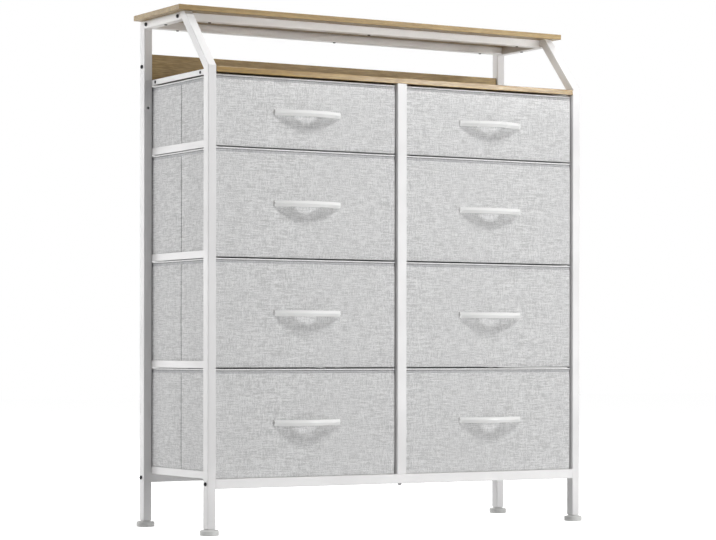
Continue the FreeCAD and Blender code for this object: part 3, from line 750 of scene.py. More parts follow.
# ---- Fasteners ----
@dataclass(frozen=True)
class Fastener:
    """A bolt or a screw about the Z axis: its head below Z = 0 and its shank above it."""

    head: float
    head_height: float
    shank: float
    length: float
    drive: Drive
    sides: int = 24
    # The recess: its share of the head's radius, its floor as a share of the head's height, half
    # the angle of a cross's arm in degrees, and the share that the cross keeps between its arms.
    recess: float = 0.55
    recess_floor: float = 0.35
    arm: float = 10.0
    web: float = 0.34
    # The head's outline, from under it to its top, in shares of its radius and of its height.
    outline: tuple[tuple[float, float], ...] = (
        (0.97, 0.0), (1.0, 0.1), (1.0, 0.45), (0.93, 0.74), (0.78, 0.93), (0.64, 1.0))

    def _recess_radius(self, angle: float) -> float:
        """The recess's radius at an angle.

        Args:
            angle: The angle about the axis, in radians.

        Returns:
            The radius in metres.
        """
        reach = self.head / 2 * self.recess
        if self.drive is Drive.HEX:
            part = (angle % (math.pi / 3)) - math.pi / 6
            return reach * math.cos(math.pi / 6) / math.cos(part)
        part = abs(((angle + math.pi / 4) % (math.pi / 2)) - math.pi / 4)
        return reach if part < math.radians(self.arm) else reach * self.web

    def build(self) -> bpy.types.Mesh:
        """Build the fastener.

        Returns:
            Its mesh.
        """
        bm = bmesh.new()
        radius, height = self.head / 2, self.head_height
        turn = Matrix.Rotation(math.pi / self.sides, 4, "Z")
        bmesh.ops.create_circle(bm, cap_ends=False, segments=self.sides, radius=self.shank / 2,
                                matrix=Matrix.Translation((0, 0, self.length)) @ turn)
        tip = bmesh.ops.edgeloop_fill(bm, edges=bm.edges[:])["faces"]
        rings = [(self.shank / 2, 0.0)]
        rings += [(radius * share, -height * drop) for share, drop in self.outline]
        edges = list(tip[0].edges)
        for reach, level in rings:
            edges = self._next_ring(bm, edges, lambda angle, reach=reach: reach, level)
        for level in (-height, -height * self.recess_floor):
            edges = self._next_ring(bm, edges, self._recess_radius, level)
        bmesh.ops.edgeloop_fill(bm, edges=edges)
        bmesh.ops.recalc_face_normals(bm, faces=bm.faces[:])
        mesh = bpy.data.meshes.new("fastener")
        bm.to_mesh(mesh)
        bm.free()
        return mesh

    @staticmethod
    def _next_ring(bm: bmesh.types.BMesh, edges: list, reach: Callable[[float], float],
                   level: float) -> list:
        """Extrude a ring of edges to the next ring of the profile.

        Args:
            bm: The bmesh.
            edges: The open ring.
            reach: The new ring's radius at an angle.
            level: The new ring's height.

        Returns:
            The new ring's edges.
        """
        made = bmesh.ops.extrude_edge_only(bm, edges=edges)
        for vert in new_parts(made, bmesh.types.BMVert):
            angle = math.atan2(vert.co.y, vert.co.x)
            radius = reach(angle)
            vert.co = (radius * math.cos(angle), radius * math.sin(angle), level)
        return new_parts(made, bmesh.types.BMEdge)


@dataclass
class FastenerSet:
    """The fasteners that stand in for one CAD node, found from that node's separate solids."""

    node: str
    body: str
    slot: str
    kind: Fastener
    tuck: float = 0.0
    shift: float = 0.0
    # How much of the head's height counts as an end of the solid.
    end: float = 0.7

    def places(self) -> list[Matrix]:
        """Find each solid of the node: its middle, its long axis and which end has the head.

        Returns:
            One matrix for each fastener.
        """
        bm = bmesh.new()
        bm.from_mesh(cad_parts[self.node].data)
        bmesh.ops.remove_doubles(bm, verts=bm.verts[:], dist=WELD)
        seen: set[bmesh.types.BMVert] = set()
        found = []
        for start in bm.verts:
            if start in seen:
                continue
            island, queue = [], [start]
            seen.add(start)
            while queue:
                vert = queue.pop()
                island.append(vert.co.copy())
                for edge in vert.link_edges:
                    other = edge.other_vert(vert)
                    if other not in seen:
                        seen.add(other)
                        queue.append(other)
            found.append(self._place(island))
        bm.free()
        return found

    def _place(self, points: list[Vector]) -> Matrix:
        """Place a fastener over the points of one solid.

        Args:
            points: The solid's corners.

        Returns:
            The matrix that takes the fastener there.
        """
        low = Vector(min(p[i] for p in points) for i in range(3))
        high = Vector(max(p[i] for p in points) for i in range(3))
        axis = max(range(3), key=lambda i: high[i] - low[i])
        others = [i for i in range(3) if i != axis]
        middle = (low + high) / 2

        def widest(end: float) -> float:
            """The radius of the solid near one end."""
            near = [p for p in points if abs(p[axis] - end) < self.kind.head_height * self.end]
            return max(max(abs(p[i] - middle[i]) for i in others) for p in near)

        sign = 1 if widest(low[axis]) > widest(high[axis]) else -1
        way = Vector((0, 0, 0))
        way[axis] = sign
        seat = middle.copy()
        seat[axis] = (low if sign > 0 else high)[axis] + sign * self.kind.head_height
        if axis == 0:
            seat += way * self.tuck + Vector((0, self.shift, 0))
        return Matrix.Translation(seat) @ turn_to(way)

    def build(self, material: bpy.types.Material) -> bpy.types.Object:
        """Build every fastener of the set as one piece.

        Args:
            material: The metal.

        Returns:
            The piece.
        """
        mesh = self.kind.build()
        bm = bmesh.new()
        for matrix in self.places():
            add_copy(bm, mesh, matrix)
        bpy.data.meshes.remove(mesh)
        piece = make_piece(bm, f"{self.node}_detailed", [material], sharp=30.0)
        return show(piece, self.body, self.slot, self.node)


# ---- Frame, boards and feet ----
@dataclass
class SteelFrame:
    """The painted tubes and runners, with their bolts, screws and plugs."""

    palette: Palette
    tubes: tuple[str, ...] = ("front_post", "rear_post", "shelf_strut", "shelf_side_rail")
    rails: tuple[str, ...] = (
        "shelf_front_rail", "shelf_rear_rail", "bottom_front_rail", "bottom_rear_rail",
        "centre_front_post", "centre_rear_post", "centre_runners")
    # Beyond which X the outer sides of the side rails and runners lie, and how far those go in.
    reach: float = 486 * MM
    runner_tuck: float = 9 * MM
    rail_tuck: float = 8 * MM
    # How far the screws of the top board and their holes go back, and what counts as a rail's end.
    screw_shift: float = 15 * MM
    rail_end: float = 1 * MM
    bolt: Fastener = Fastener(
        head=9 * MM, head_height=3.5 * MM, shank=5 * MM, length=34 * MM, drive=Drive.HEX)
    screw: Fastener = Fastener(
        head=7 * MM, head_height=1.8 * MM, shank=3.5 * MM, length=27 * MM, drive=Drive.CROSS)

    def build(self) -> None:
        """Dress the tubes and build the fasteners."""
        for side in Side:
            for tube in self.tubes:
                dress(f"{side.word}_{tube}", self.palette.paint)
            self._tucked(f"{side.word}_board_rail", self.rail_tuck, self.screw_shift)
        for rail in self.rails:
            dress(rail, self.palette.paint)
        self._tucked("side_runners", self.runner_tuck)
        dress("post_plugs", self.palette.plug)
        FastenerSet("frame_bolts", "frame", "black_fastener", self.bolt).build(self.palette.black)
        FastenerSet("board_screws", "frame", "black_fastener", self.screw, self.rail_tuck,
                    self.screw_shift).build(self.palette.black)

    def _tucked(self, node: str, depth: float, shift: float = 0.0) -> bpy.types.Object:
        """Copy a CAD node with its outer sides further in, so the posts' whole width shows.

        Args:
            node: The node's name.
            depth: How far the outer sides go in.
            shift: How far the holes go back.

        Returns:
            The piece.
        """
        bm = bmesh.new()
        bm.from_mesh(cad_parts[node].data)
        bmesh.ops.remove_doubles(bm, verts=bm.verts[:], dist=WELD)
        first = min(vert.co.y for vert in bm.verts) + self.rail_end
        last = max(vert.co.y for vert in bm.verts) - self.rail_end
        for vert in bm.verts:
            if abs(vert.co.x) > self.reach:
                vert.co.x -= math.copysign(depth, vert.co.x)
            if first < vert.co.y < last:
                vert.co.y += shift
        bmesh.ops.recalc_face_normals(bm, faces=bm.faces[:])
        piece = make_piece(bm, f"{node}_tucked", [self.palette.paint], sharp=30.0)
        return show(piece, "frame", "frame_paint", node)


@dataclass
class Boards:
    """The three laminated boards."""

    palette: Palette

    def build(self) -> None:
        """Dress the boards."""
        for node, finish in (("top_board", self.palette.oak), ("back_board", self.palette.back_oak),
                             ("shelf_board", self.palette.shelf_oak)):
            dress(node, finish)


@dataclass
class LevellingFoot:
    """A foot under one post: a rounded disc, a neck and a threaded stem."""

    name: str
    palette: Palette
    radius: float = 21.25 * MM
    disc: float = 12.5 * MM
    rim: float = 3.4 * MM
    neck: float = 12 * MM
    neck_top: float = 14.6 * MM
    stem: float = 4 * MM
    stem_top: float = 46.6 * MM
    pitch: float = 1.25 * MM
    # The rounded edge of the sole, the hollow between disc and neck, and the thread's start and root.
    sole: float = 1.6 * MM
    hollow: float = 1.2 * MM
    lead: float = 0.4 * MM
    root: float = 0.86
    sides: int = 64

    @staticmethod
    def _arc(radius: float, level: float, size: float, start: float, end: float,
             steps: int) -> list[tuple[float, float]]:
        """Points of a quarter arc of the profile.

        Args:
            radius: The arc centre's radius.
            level: The arc centre's height.
            size: The arc's own radius.
            start: Its first angle, in degrees.
            end: Its last angle, in degrees.
            steps: How many parts it has.

        Returns:
            The points as (radius, height).
        """
        angles = [math.radians(start + (end - start) * index / steps) for index in range(steps + 1)]
        return [(radius + size * math.cos(a), level + size * math.sin(a)) for a in angles]

    def profile(self) -> list[tuple[float, float]]:
        """The half profile from the middle of the sole to the top of the stem.

        Returns:
            Points as (radius, height).
        """
        low_rim = self._arc(self.radius - self.sole, self.sole, self.sole, -90, 0, 4)
        high_rim = self._arc(self.radius - self.rim, self.disc - self.rim, self.rim, 0, 90, 6)
        dip = self.hollow / 4
        points = [(0.0, 0.0), *low_rim, *high_rim, (self.neck + self.hollow, self.disc),
                  (self.neck + dip, self.disc + dip), (self.neck, self.disc + self.hollow),
                  (self.neck, self.neck_top), (self.stem, self.neck_top)]
        level, root = self.neck_top + self.lead, self.stem * self.root
        while level + self.pitch < self.stem_top:
            points += [(self.stem, level), (root, level + self.pitch / 2)]
            level += self.pitch
        return points + [(root, self.stem_top), (0.0, self.stem_top)]

    def build(self) -> bpy.types.Object:
        """Build the foot.

        Returns:
            The piece.
        """
        low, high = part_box(self.name)
        bm = lathe(self.profile(), self.sides)
        middle = ((low.x + high.x) / 2, (low.y + high.y) / 2, low.z)
        bmesh.ops.translate(bm, vec=middle, verts=bm.verts[:])
        piece = make_piece(bm, f"{self.name}_turned", [self.palette.foot], sharp=35.0)
        return show(piece, self.name, "foot_plastic", self.name)


# ---- Drawers ----
@dataclass
class Ring:
    """A rounded rectangle round a drawer at one height, about X = 0."""

    half: float
    front: float
    back: float
    radius: float
    level: float

    def core(self) -> tuple[float, float, float]:
        """Half the straight width, half the straight depth, and the middle in Y."""
        depth, middle = (self.back - self.front) / 2, (self.front + self.back) / 2
        return self.half - self.radius, depth - self.radius, middle

    def locate(self, point: Vector) -> tuple[float, float, float, float]:
        """Find where a point lies on the ring.

        Args:
            point: A point of the ring.

        Returns:
            Its shares along the straight width and depth, and its outward direction.
        """
        wide, deep, middle = self.core()
        near_x = max(-wide, min(wide, point.x))
        near_y = max(-deep, min(deep, point.y - middle))
        out = Vector((point.x - near_x, point.y - middle - near_y))
        out.normalize()
        return near_x / wide, near_y / deep, out.x, out.y

    def point(self, share_x: float, share_y: float, out_x: float, out_y: float) -> Vector:
        """Give the point of the ring at such a place.

        Args:
            share_x: Its share along the straight width, from -1 to 1.
            share_y: Its share along the straight depth, from -1 to 1.
            out_x: Its outward direction in X.
            out_y: Its outward direction in Y.

        Returns:
            The point.
        """
        wide, deep, middle = self.core()
        x = share_x * wide + out_x * self.radius
        y = middle + share_y * deep + out_y * self.radius
        return Vector((x, y, self.level))


@dataclass
class DrawerShell:
    """The sewn fabric box of one drawer, with its folded hem and the crease in each side."""

    name: str
    palette: Palette
    wall: float = 2.5 * MM
    front_wall: float = 6 * MM
    floor: float = 2 * MM
    corner: float = 3 * MM
    least_corner: float = 1 * MM
    # How far the inner corner round the floor is broken.
    floor_edge: float = 1 * MM
    proud: float = 0.8 * MM
    hem: float = 10 * MM
    rim: float = 3.2 * MM
    # The box's bottom edge: how far in its face begins, and where the level rows of the walls begin.
    tuck_in: float = 1.2 * MM
    skirt: float = 1.2 * MM
    columns: int = 26
    rows: int = 12
    inner_rows: int = 4
    # Millimetres from the middle of each side to the lines cut beside its crease.
    beside: tuple[float, ...] = (0, 1.2, 2.4, 4.5, 9, 26, 52, 78, 104, 130)
    # The crease: its depth, half its width, how it fades at its ends, and the painted shade along its
    # bottom.
    crease: float = 1.8 * MM
    crease_half: float = 1.3 * MM
    crease_fade: float = 6 * MM
    dark_half: float = 1 * MM
    dark_skin: float = 2.2 * MM
    # The wide pull of the cloth towards the crease.
    pull: float = 0.5 * MM
    pull_half: float = 22 * MM
    # The unevenness of the cloth: its depth, where it starts, how it fades towards the edges, and
    # how much of it the front and the back have.
    softness: float = 0.45 * MM
    still: float = 3 * MM
    fade: float = 30 * MM
    end_share: float = 0.8
    # Its waves a metre on the sides and on the front or back, and how far apart two walls sample it.
    side_waves: tuple[int, int] = (9, 3)
    end_waves: tuple[int, int] = (7, 5)
    # How deep the outer cloth of a side or the back reaches, and that of the front.
    skin: float = 4 * MM
    front_skin: float = 7 * MM
    # The lift of the rear rim: its height, and its run forward, down, and in from the sides.
    rear_lift: float = 2.6 * MM
    lift_run: float = 40 * MM
    lift_drop: float = 30 * MM
    lift_inset: float = 16 * MM
    lift_ramp: float = 12 * MM

    def __post_init__(self) -> None:
        """Take the place of the CAD node."""
        low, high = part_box(f"{self.name}_shell")
        self.center_x = (low.x + high.x) / 2
        self.base_z = low.z
        self.height = high.z - low.z
        self.half = (high.x - low.x) / 2 - self.proud
        self.face = low.y + self.proud
        self.back = high.y - self.proud
        self.middle = (self.face + self.back) / 2
        self.line = self.base_z + self.height - self.hem

    def ring(self, out: float, level: float, inside: float = 0.0) -> Ring:
        """A ring that stands out from the walls, or lies a share of the way through them.

        Args:
            out: How far it stands out.
            level: Its height above the bottom of the drawer.
            inside: 0 on the outer face of the walls, 1 on their inner face.

        Returns:
            The ring.
        """
        step = out - self.wall * inside
        front = self.face - out + self.front_wall * inside
        radius = max(self.corner + step, self.least_corner)
        return Ring(self.half + step, front, self.back + step, radius, level)

    def rings(self) -> list[tuple[Ring, Cloth]]:
        """The rings from the outer edge of the bottom, over the hem and down to the floor.

        Returns:
            Each ring with the cloth of the band that leads up to it.
        """
        top = self.height
        line, seat = top - self.hem, top - self.rim
        rise, drop = line - 2 * self.skirt, line - self.floor - self.floor_edge
        rows = [self.skirt + rise * index / self.rows for index in range(self.rows + 1)]
        lower = [line - drop * index / self.inner_rows for index in range(self.inner_rows + 1)]
        # Each row: how far out in millimetres, the level it is measured from, millimetres above it.
        bands = (
            (Cloth.WALL, [(-0.5, 0.0, 0.35), *((0.0, row, 0.0) for row in rows), (0.0, line, -0.5),
                          (-0.25, line, -0.1)]),
            (Cloth.BINDING, [(-0.95, line, 0.4), (-0.65, line, 1.4), (-0.5, line, 3.6),
                             (-0.65, seat, -1.4)]),
            # The recessed band right under the rim takes the darker copy of the cloth: painted shade.
            (Cloth.SEAM, [(-1.7, seat, -1.0), (-1.7, seat, -0.1)]),
            # The rim and its inner lip take the paler copy of the cloth: painted highlight.
            (Cloth.FOLD, [(0.2, seat, 0.1), (0.7, seat, 0.6), (self.proud / MM, top, -1.6),
                          (0.6, top, -0.6), (0.1, top, -0.12)]))
        found = [(self.ring(out * MM, base + above * MM), cloth)
                 for cloth, places in bands for out, base, above in places]
        found += [(self.ring(0.0, top - down * MM, inside), Cloth.FOLD)
                  for inside, down in ((0.35, 0.0), (0.75, 0.1), (1.0, 0.9))]
        found += [(self.ring(0.0, level, 1.0), Cloth.WALL) for level in lower]
        return found + [(self.ring(-self.floor_edge, self.floor, 1.0), Cloth.WALL)]

    def _outline(self) -> bmesh.types.BMesh:
        """Start with the bottom of the drawer, cut into columns and with lines beside each crease.

        Returns:
            The bmesh of the bottom.
        """
        first = self.ring(-self.tuck_in, 0.0)
        bm = bmesh.new()
        bmesh.ops.create_grid(bm, x_segments=1, y_segments=1, size=0.5)
        bmesh.ops.scale(bm, vec=(2 * first.half, first.back - first.front, 1), verts=bm.verts[:])
        bmesh.ops.translate(bm, vec=(0, (first.front + first.back) / 2, 0), verts=bm.verts[:])
        bmesh.ops.bevel(bm, geom=bm.verts[:], offset=first.radius, segments=5, affect="VERTICES",
                        profile=0.5, material=-1)
        across = [first.half * (2 * index / self.columns - 1) for index in range(1, self.columns)]
        along = sorted({self.middle + sign * step * MM for step in self.beside for sign in (-1, 1)})
        cuts = [((x, 0, 0), (1, 0, 0)) for x in across] + [((0, y, 0), (0, 1, 0)) for y in along]
        for place, normal in cuts:
            bmesh.ops.bisect_plane(bm, geom=bm.faces[:] + bm.edges[:] + bm.verts[:],
                                   plane_co=place, plane_no=normal)
        return bm

    def _raised(self, spot: Vector) -> float:
        """How far the rear rim lifts a point, between the runners only.

        Args:
            spot: The point.

        Returns:
            The lift in metres.
        """
        inset = self.half - abs(spot.x - self.center_x) - self.lift_inset
        shares = ((spot.y - self.back + self.lift_run) / self.lift_run, inset / self.lift_ramp,
                  (spot.z - self.line + self.lift_drop) / self.lift_drop)
        return self.rear_lift * math.prod(max(0.0, min(1.0, share)) for share in shares)

    def _swell(self, spot: Vector, rise: float) -> Vector:
        """How far the cloth stands off its flat wall at a point.

        Args:
            spot: The point.
            rise: Its distance from the bottom edge or from the hem, whichever is nearer.

        Returns:
            The move.
        """
        ease = min(1.0, rise / self.fade)
        across = spot.x - self.center_x
        if abs(across) > self.half - self.skin:
            way, (rate, apart) = Vector((math.copysign(1, across), 0, 0)), self.side_waves
            off = abs(spot.y - self.middle)
            dent = self.crease * math.exp(-(off / self.crease_half) ** 2)
            sunk = self.pull * math.exp(-(off / self.pull_half) ** 2)
            flat = (self.proud - sunk) * ease - dent * min(1.0, rise / self.crease_fade)
            depth = self.softness * ease
        elif spot.y < self.face + self.front_skin or spot.y > self.back - self.skin:
            way, (rate, apart) = Vector((0, -1 if spot.y < self.middle else 1, 0)), self.end_waves
            flat = 0.0
            edge = min(1.0, (self.half - abs(across)) / self.fade)
            depth = self.softness * self.end_share * ease * edge
        else:
            return Vector((0, 0, 0))
        return way * (noise.noise(spot * rate + way * apart) * depth + flat)

    def _soften(self, bm: bmesh.types.BMesh) -> None:
        """Lift the rear rim, and give the walls their crease and a slight unevenness.

        Args:
            bm: The finished box, already in its place.
        """
        for vert in bm.verts:
            vert.co.z += self._raised(vert.co)
            rise = min(vert.co.z - self.base_z, self.line - vert.co.z)
            if rise >= self.still:
                vert.co += self._swell(vert.co, rise)

    def _darken(self, bm: bmesh.types.BMesh) -> None:
        """Paint shade along the bottom of each crease with the darker copy of the cloth.

        Args:
            bm: The finished box with its creases.
        """
        for face in bm.faces:
            spot = face.calc_center_median()
            outside = abs(spot.x - self.center_x) > self.half - self.dark_skin
            if outside and abs(spot.y - self.middle) < self.dark_half and spot.z < self.line:
                face.material_index = Cloth.SEAM

    def build(self) -> bpy.types.Object:
        """Build the fabric box.

        Returns:
            The piece.
        """
        bm = self._outline()
        edges = [edge for edge in bm.edges if edge.is_boundary]
        last = self.ring(-self.tuck_in, 0.0)
        for ring, cloth in self.rings():
            made = bmesh.ops.extrude_edge_only(bm, edges=edges)
            for vert in new_parts(made, bmesh.types.BMVert):
                vert.co = ring.point(*last.locate(vert.co))
            for face in new_parts(made, bmesh.types.BMFace):
                face.material_index = cloth
            edges = new_parts(made, bmesh.types.BMEdge)
            last = ring
        bmesh.ops.edgeloop_fill(bm, edges=edges)
        bmesh.ops.recalc_face_normals(bm, faces=bm.faces[:])
        bmesh.ops.translate(bm, vec=(self.center_x, 0, self.base_z), verts=bm.verts[:])
        self._soften(bm)
        self._darken(bm)
        finishes = {Cloth.WALL: self.palette.cloth, Cloth.BINDING: self.palette.binding,
                    Cloth.FOLD: self.palette.fold, Cloth.SEAM: self.palette.seam}
        piece = make_piece(bm, f"{self.name}_fabric", [finishes[cloth] for cloth in Cloth], sharp=55.0)
        return show(piece, self.name, "drawer_fabric", f"{self.name}_shell")


@dataclass
class HemStitching:
    """Two rows of stitches round the hem of a drawer."""

    shell: DrawerShell
    pitch: float = 3.4 * MM
    stitch: float = 2.5 * MM
    thread: float = 0.34 * MM
    tall: float = 1.3
    # How far out each row lies, and its level from the hem's lower line or from the rim's.
    lower: tuple[float, float] = (-0.45 * MM, 1.6 * MM)
    upper: tuple[float, float] = (-0.5 * MM, -1.4 * MM)

    def _walk(self, ring: Ring) -> list[Matrix]:
        """Places for stitches along a ring, a pitch apart.

        Args:
            ring: The ring that they follow.

        Returns:
            One matrix for each stitch.
        """
        wide, deep, middle = ring.core()
        far_x, far_y = wide + ring.radius, deep + ring.radius
        sides = (((-wide, middle - far_y), (1, 0), 2 * wide), ((far_x, middle - deep), (0, 1), 2 * deep),
                 ((wide, middle + far_y), (-1, 0), 2 * wide), ((-far_x, middle + deep), (0, -1), 2 * deep))
        places = []
        for (x, y), (dx, dy), length in sides:
            count = int(length / self.pitch)
            turn = Matrix.Rotation(math.atan2(dy, dx), 4, "Z")
            for index in range(count):
                along = (index + 0.5) * length / count
                places.append(Matrix.Translation((x + dx * along, y + dy * along, ring.level)) @ turn)
        return places

    def build(self) -> bpy.types.Object:
        """Build the stitches as one piece.

        Returns:
            The piece.
        """
        shell = self.shell
        single = bmesh.new()
        bmesh.ops.create_icosphere(single, subdivisions=1, radius=0.5)
        size = (self.stitch, self.thread, self.thread * self.tall)
        bmesh.ops.scale(single, vec=size, verts=single.verts[:])
        mesh = bpy.data.meshes.new("stitch")
        single.to_mesh(mesh)
        single.free()
        bm = bmesh.new()
        for (out, rise), edge in ((self.lower, shell.hem), (self.upper, shell.rim)):
            for matrix in self._walk(shell.ring(out, shell.height - edge + rise)):
                add_copy(bm, mesh, matrix)
        bpy.data.meshes.remove(mesh)
        bmesh.ops.translate(bm, vec=(shell.center_x, 0, shell.base_z), verts=bm.verts[:])
        piece = make_piece(bm, f"{shell.name}_stitching", [shell.palette.thread], sharp=80.0)
        return show(piece, shell.name, "drawer_fabric")


@dataclass
class BowHandle:
    """The moulded bow handle of a drawer."""

    name: str
    palette: Palette
    length: float = 170 * MM
    reach: float = 28 * MM
    tip: float = 4 * MM
    grip: float = 9 * MM
    opening: float = 76 * MM
    height: float = 13.4 * MM
    ridge: float = 0.5
    # How far the bow's face leans back below its ridge, the share of that above it, and the most
    # that it may be of the bow's depth.
    lean: float = 5 * MM
    lean_above: float = 0.25
    lean_most: float = 0.6
    rounding: float = 2.4 * MM
    steps: int = 40
    # What counts as level or as on a face, in metres, and the least angle of an edge to round.
    near: float = 1e-5
    crisp: float = 0.1

    @staticmethod
    def _arc(bm: bmesh.types.BMesh, half: float, start_y: float, rise: float, steps: int) -> list:
        """Sweep a vertex along an arc that bows to the front.

        Args:
            bm: The bmesh.
            half: Half the arc's chord.
            start_y: The Y of its ends.
            rise: How far it bows forward.
            steps: Its number of parts.

        Returns:
            The arc's vertices in order.
        """
        radius = (half ** 2 + rise ** 2) / (2 * rise)
        center = Vector((0, start_y - rise + radius, 0))
        first = bm.verts.new((-half, start_y, 0))
        bmesh.ops.spin(bm, geom=[first], cent=center, axis=(0, 0, 1), dvec=(0, 0, 0),
                       angle=2 * math.asin(half / radius), steps=steps)
        chain, ahead = [], [first]
        while ahead:
            chain.append(ahead[0])
            others = [edge.other_vert(chain[-1]) for edge in chain[-1].link_edges]
            ahead = [vert for vert in others if vert not in chain]
        return chain

    def _lean_back(self, bm: bmesh.types.BMesh) -> None:
        """Slant the bow's face back below its ridge, and a little above it.

        Args:
            bm: The handle before its edges are rounded.
        """
        line = self.height * self.ridge
        half, rise = self.length / 2, self.reach - self.tip
        radius = (half ** 2 + rise ** 2) / (2 * rise)
        for vert in bm.verts:
            bow = math.sqrt(max(radius ** 2 - vert.co.x ** 2, 0.0)) - (radius - rise) + self.tip
            if abs(vert.co.z - line) > WELD and abs(-vert.co.y - bow) < self.near:
                share = 1.0 if vert.co.z < line else self.lean_above
                vert.co.y += min(self.lean * share, -vert.co.y * self.lean_most * share)

    def _rounded(self, edge: bmesh.types.BMEdge) -> bool:
        """Tell whether an edge of the handle is moulded round.

        Args:
            edge: The edge.

        Returns:
            Whether it is a rim of a face, or an upright corner of an end, and stands off the drawer.
        """
        one, other = edge.verts
        climb = abs(one.co.z - other.co.z)
        if climb > self.near:
            return abs(abs(one.co.x) - self.length / 2) < WELD and one.co.y < -self.near
        off = max(one.co.y, other.co.y) < -self.near
        return off and climb < TOUCH and len(edge.link_faces) == 2 and edge.calc_face_angle() > self.crisp

    def build(self) -> bpy.types.Object:
        """Build the handle.

        Returns:
            The piece.
        """
        low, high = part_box(f"{self.name}_handle")
        bm = bmesh.new()
        outer = self._arc(bm, self.length / 2, -self.tip, self.reach - self.tip, self.steps)
        inner = self._arc(bm, self.opening / 2, 0.0, self.reach - self.grip, self.steps // 2)
        ends = [bm.verts.new((side * self.length / 2, 0, 0)) for side in (-1, 1)]
        loop = outer + [ends[1]] + inner[::-1] + [ends[0]]
        bmesh.ops.delete(bm, geom=bm.edges[:], context="EDGES_FACES")
        face = bm.faces.new(loop)
        for part in (self.ridge, 1 - self.ridge):
            made = bmesh.ops.extrude_face_region(bm, geom=[face])
            raised = new_parts(made, bmesh.types.BMVert)
            bmesh.ops.translate(bm, vec=(0, 0, self.height * part), verts=raised)
            face = new_parts(made, bmesh.types.BMFace)[0]
        self._lean_back(bm)
        bmesh.ops.recalc_face_normals(bm, faces=bm.faces[:])
        rims = [edge for edge in bm.edges if self._rounded(edge)]
        bmesh.ops.bevel(bm, geom=rims, offset=self.rounding, offset_type="OFFSET", segments=5,
                        affect="EDGES", profile=0.5, material=-1, clamp_overlap=True)
        middle = Vector(((low.x + high.x) / 2, high.y, (low.z + high.z - self.height) / 2))
        bmesh.ops.translate(bm, vec=middle, verts=bm.verts[:])
        bmesh.ops.remove_doubles(bm, verts=bm.verts[:], dist=TOUCH)
        bmesh.ops.recalc_face_normals(bm, faces=bm.faces[:])
        piece = make_piece(bm, f"{self.name}_bow", [self.palette.handle], sharp=42.0)
        return show(piece, self.name, "handle_plastic", f"{self.name}_handle")


@dataclass
class Drawer:
    """One drawer with its shell, hem, base board, handle and screws."""

    side: Side
    row: int
    palette: Palette
    screw: Fastener = Fastener(
        head=7.5 * MM, head_height=2.2 * MM, shank=3.5 * MM, length=14 * MM, drive=Drive.CROSS)

    @property
    def name(self) -> str:
        """The name of the drawer's body."""
        return f"{self.side.word}_drawer_{self.row}"

    def build(self) -> None:
        """Build the drawer's pieces."""
        shell = DrawerShell(self.name, self.palette)
        shell.build()
        HemStitching(shell).build()
        BowHandle(self.name, self.palette).build()
        dress(f"{self.name}_base", self.palette.base)
        FastenerSet(f"{self.name}_screws", self.name, "handle_screw", self.screw).build(self.palette.zinc)


# ---- Studio ----
@dataclass
class Softbox:
    """A rectangular area light, its width level and its height across it."""

    name: str
    place: Spot
    aim: Spot
    size: tuple[float, float]
    power: float
    spread: float = 180.0

    def build(self) -> None:
        """Hang the light and point it."""
        light = bpy.data.lights.new(self.name, "AREA")
        light.shape = "RECTANGLE"
        light.size, light.size_y = self.size
        light.spread = math.radians(self.spread)
        light.energy = self.power
        lamp = bpy.data.objects.new(self.name, light)
        lamp.location = self.place
        lamp.visible_camera = False
        lamp.rotation_euler = (Vector(self.aim) - Vector(self.place)).to_track_quat("-Z", "Y").to_euler()
        bpy.context.scene.collection.objects.link(lamp)


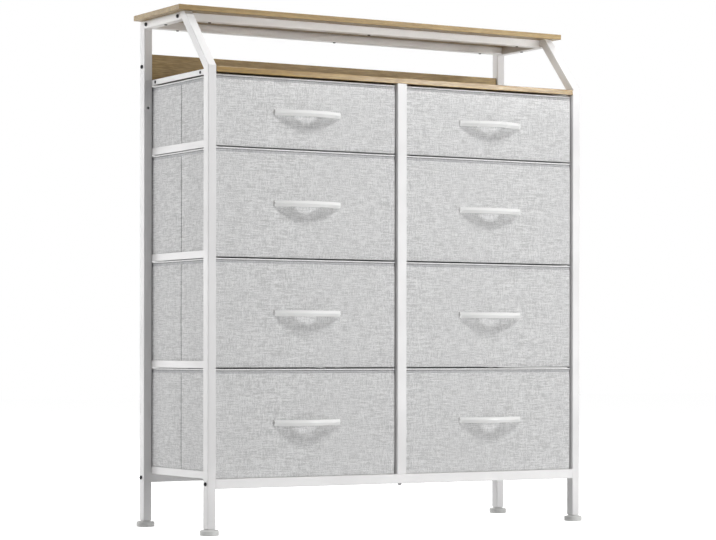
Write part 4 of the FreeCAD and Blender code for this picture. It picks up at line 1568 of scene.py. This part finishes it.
@dataclass
class Studio:
    """A white floor, a white world, soft lights and the camera."""

    floor_reach: float = 14.0
    floor_paint: Color = (0.8, 0.8, 0.8, 1.0)
    floor_glow: float = 0.94
    ambient: float = 0.065
    sensor: float = 36.0
    lens: float = 122.65
    place: Spot = (-2.9346, -4.9492, 0.4074)
    heading: float = -0.5325
    roll: float = 0.00145
    shift: float = 0.1129
    lights: tuple[Softbox, ...] = (
        Softbox("key", (2.65, -3.95, 0.8), (0.25, -0.17, 0.75), (1.0, 1.6), 80.0),
        Softbox("top", (0.3, -2.05, 3.6), (-0.1, -0.1, 0.6), (0.8, 0.8), 69.0),
        Softbox("left", (-3.4, 1.1, 2.2), (-0.5, 0.0, 0.6), (1.8, 1.8), 61.5),
        Softbox("rim", (-2.1, 2.9, 0.85), (-0.5, 0.0, 0.75), (0.9, 1.7), 18.0),
        Softbox("shelf", (0.1, -1.0, 1.05), (0.1, 0.0, 1.12), (1.0, 0.08), 0.14, 20.0),
        Softbox("bay", (-0.36, -0.4, 1.12), (0.485, -0.1, 1.1), (0.2, 0.06), 0.05, 24.0),
        Softbox("plinth", (0.0, -0.95, 0.04), (0.0, -0.17, 0.095), (1.0, 0.05), 0.028, 9.0),
        Softbox("overhead", (0.5, 0.8, 3.0), (0.0, 0.1, 1.1), (1.2, 1.2), 32.0),
        Softbox("rear", (2.2, 3.4, 2.2), (0.0, 0.15, 0.6), (1.8, 1.8), 50.0),
    )

    def build(self) -> None:
        """Set the stage."""
        bpy.context.scene.view_settings.view_transform = "Standard"
        self._floor()
        self._world()
        for light in self.lights:
            light.build()
        self._camera()
        log.info("set the studio")

    @staticmethod
    def _seen(net: NodeNet) -> Socket:
        """A mask of the rays that see the background: camera, glossy and transmission rays.

        Args:
            net: The net to add to.

        Returns:
            The mask's socket.
        """
        path = net.add("ShaderNodeLightPath").outputs
        gloss = net.math("MAXIMUM", path["Is Camera Ray"], path["Is Glossy Ray"])
        return net.math("MAXIMUM", gloss, path["Is Transmission Ray"])

    def _floor(self) -> None:
        """Lay the floor, which shows white and keeps a soft shadow."""
        bm = bmesh.new()
        bmesh.ops.create_grid(bm, x_segments=1, y_segments=1, size=self.floor_reach)
        material = bpy.data.materials.new("studio_floor")
        material.use_nodes = True
        net = NodeNet(material.node_tree)
        paint = net.add("ShaderNodeBsdfDiffuse", {"Color": self.floor_paint})
        shine = net.math("MULTIPLY", self._seen(net), self.floor_glow)
        glow = net.add("ShaderNodeEmission", {"Color": WHITE, "Strength": shine})
        total = net.add("ShaderNodeAddShader", {0: paint.outputs[0], 1: glow.outputs[0]})
        net.add("ShaderNodeOutputMaterial", {"Surface": total.outputs[0]})
        floor = make_piece(bm, "studio_floor", [material])

    def _world(self) -> None:
        """Light the scene evenly, and show white where nothing stands."""
        world = bpy.data.worlds.new("studio")
        world.use_nodes = True
        net = NodeNet(world.node_tree)
        dim = net.add("ShaderNodeBackground", {"Color": WHITE, "Strength": self.ambient})
        white = net.add("ShaderNodeBackground", {"Color": WHITE, "Strength": 1.0})
        mixed = net.add("ShaderNodeMixShader", {0: self._seen(net), 1: dim.outputs[0], 2: white.outputs[0]})
        net.add("ShaderNodeOutputWorld", {"Surface": mixed.outputs[0]})
        bpy.context.scene.world = world

    def _camera(self) -> None:
        """Place the camera."""
        data = bpy.data.cameras.new("camera")
        data.sensor_fit = "HORIZONTAL"
        data.sensor_width = self.sensor
        data.lens = self.lens
        data.shift_y = self.shift
        camera = bpy.data.objects.new("camera", data)
        camera.location = self.place
        camera.rotation_euler = (math.pi / 2, -self.roll, self.heading)
        bpy.context.scene.collection.objects.link(camera)
        bpy.context.scene.camera = camera


def main() -> None:
    """Build the dresser and its studio."""
    logging.basicConfig(level=logging.INFO, format="%(name)s: %(message)s")
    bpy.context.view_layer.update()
    Studio().build()
    palette = Palette()
    SteelFrame(palette).build()
    Boards(palette).build()
    for side in Side:
        for end in ("front", "rear"):
            LevellingFoot(f"{side.word}_{end}_foot", palette).build()
        for row in range(1, ROWS + 1):
            Drawer(side, row, palette).build()


if __name__ == "__main__":
    main()
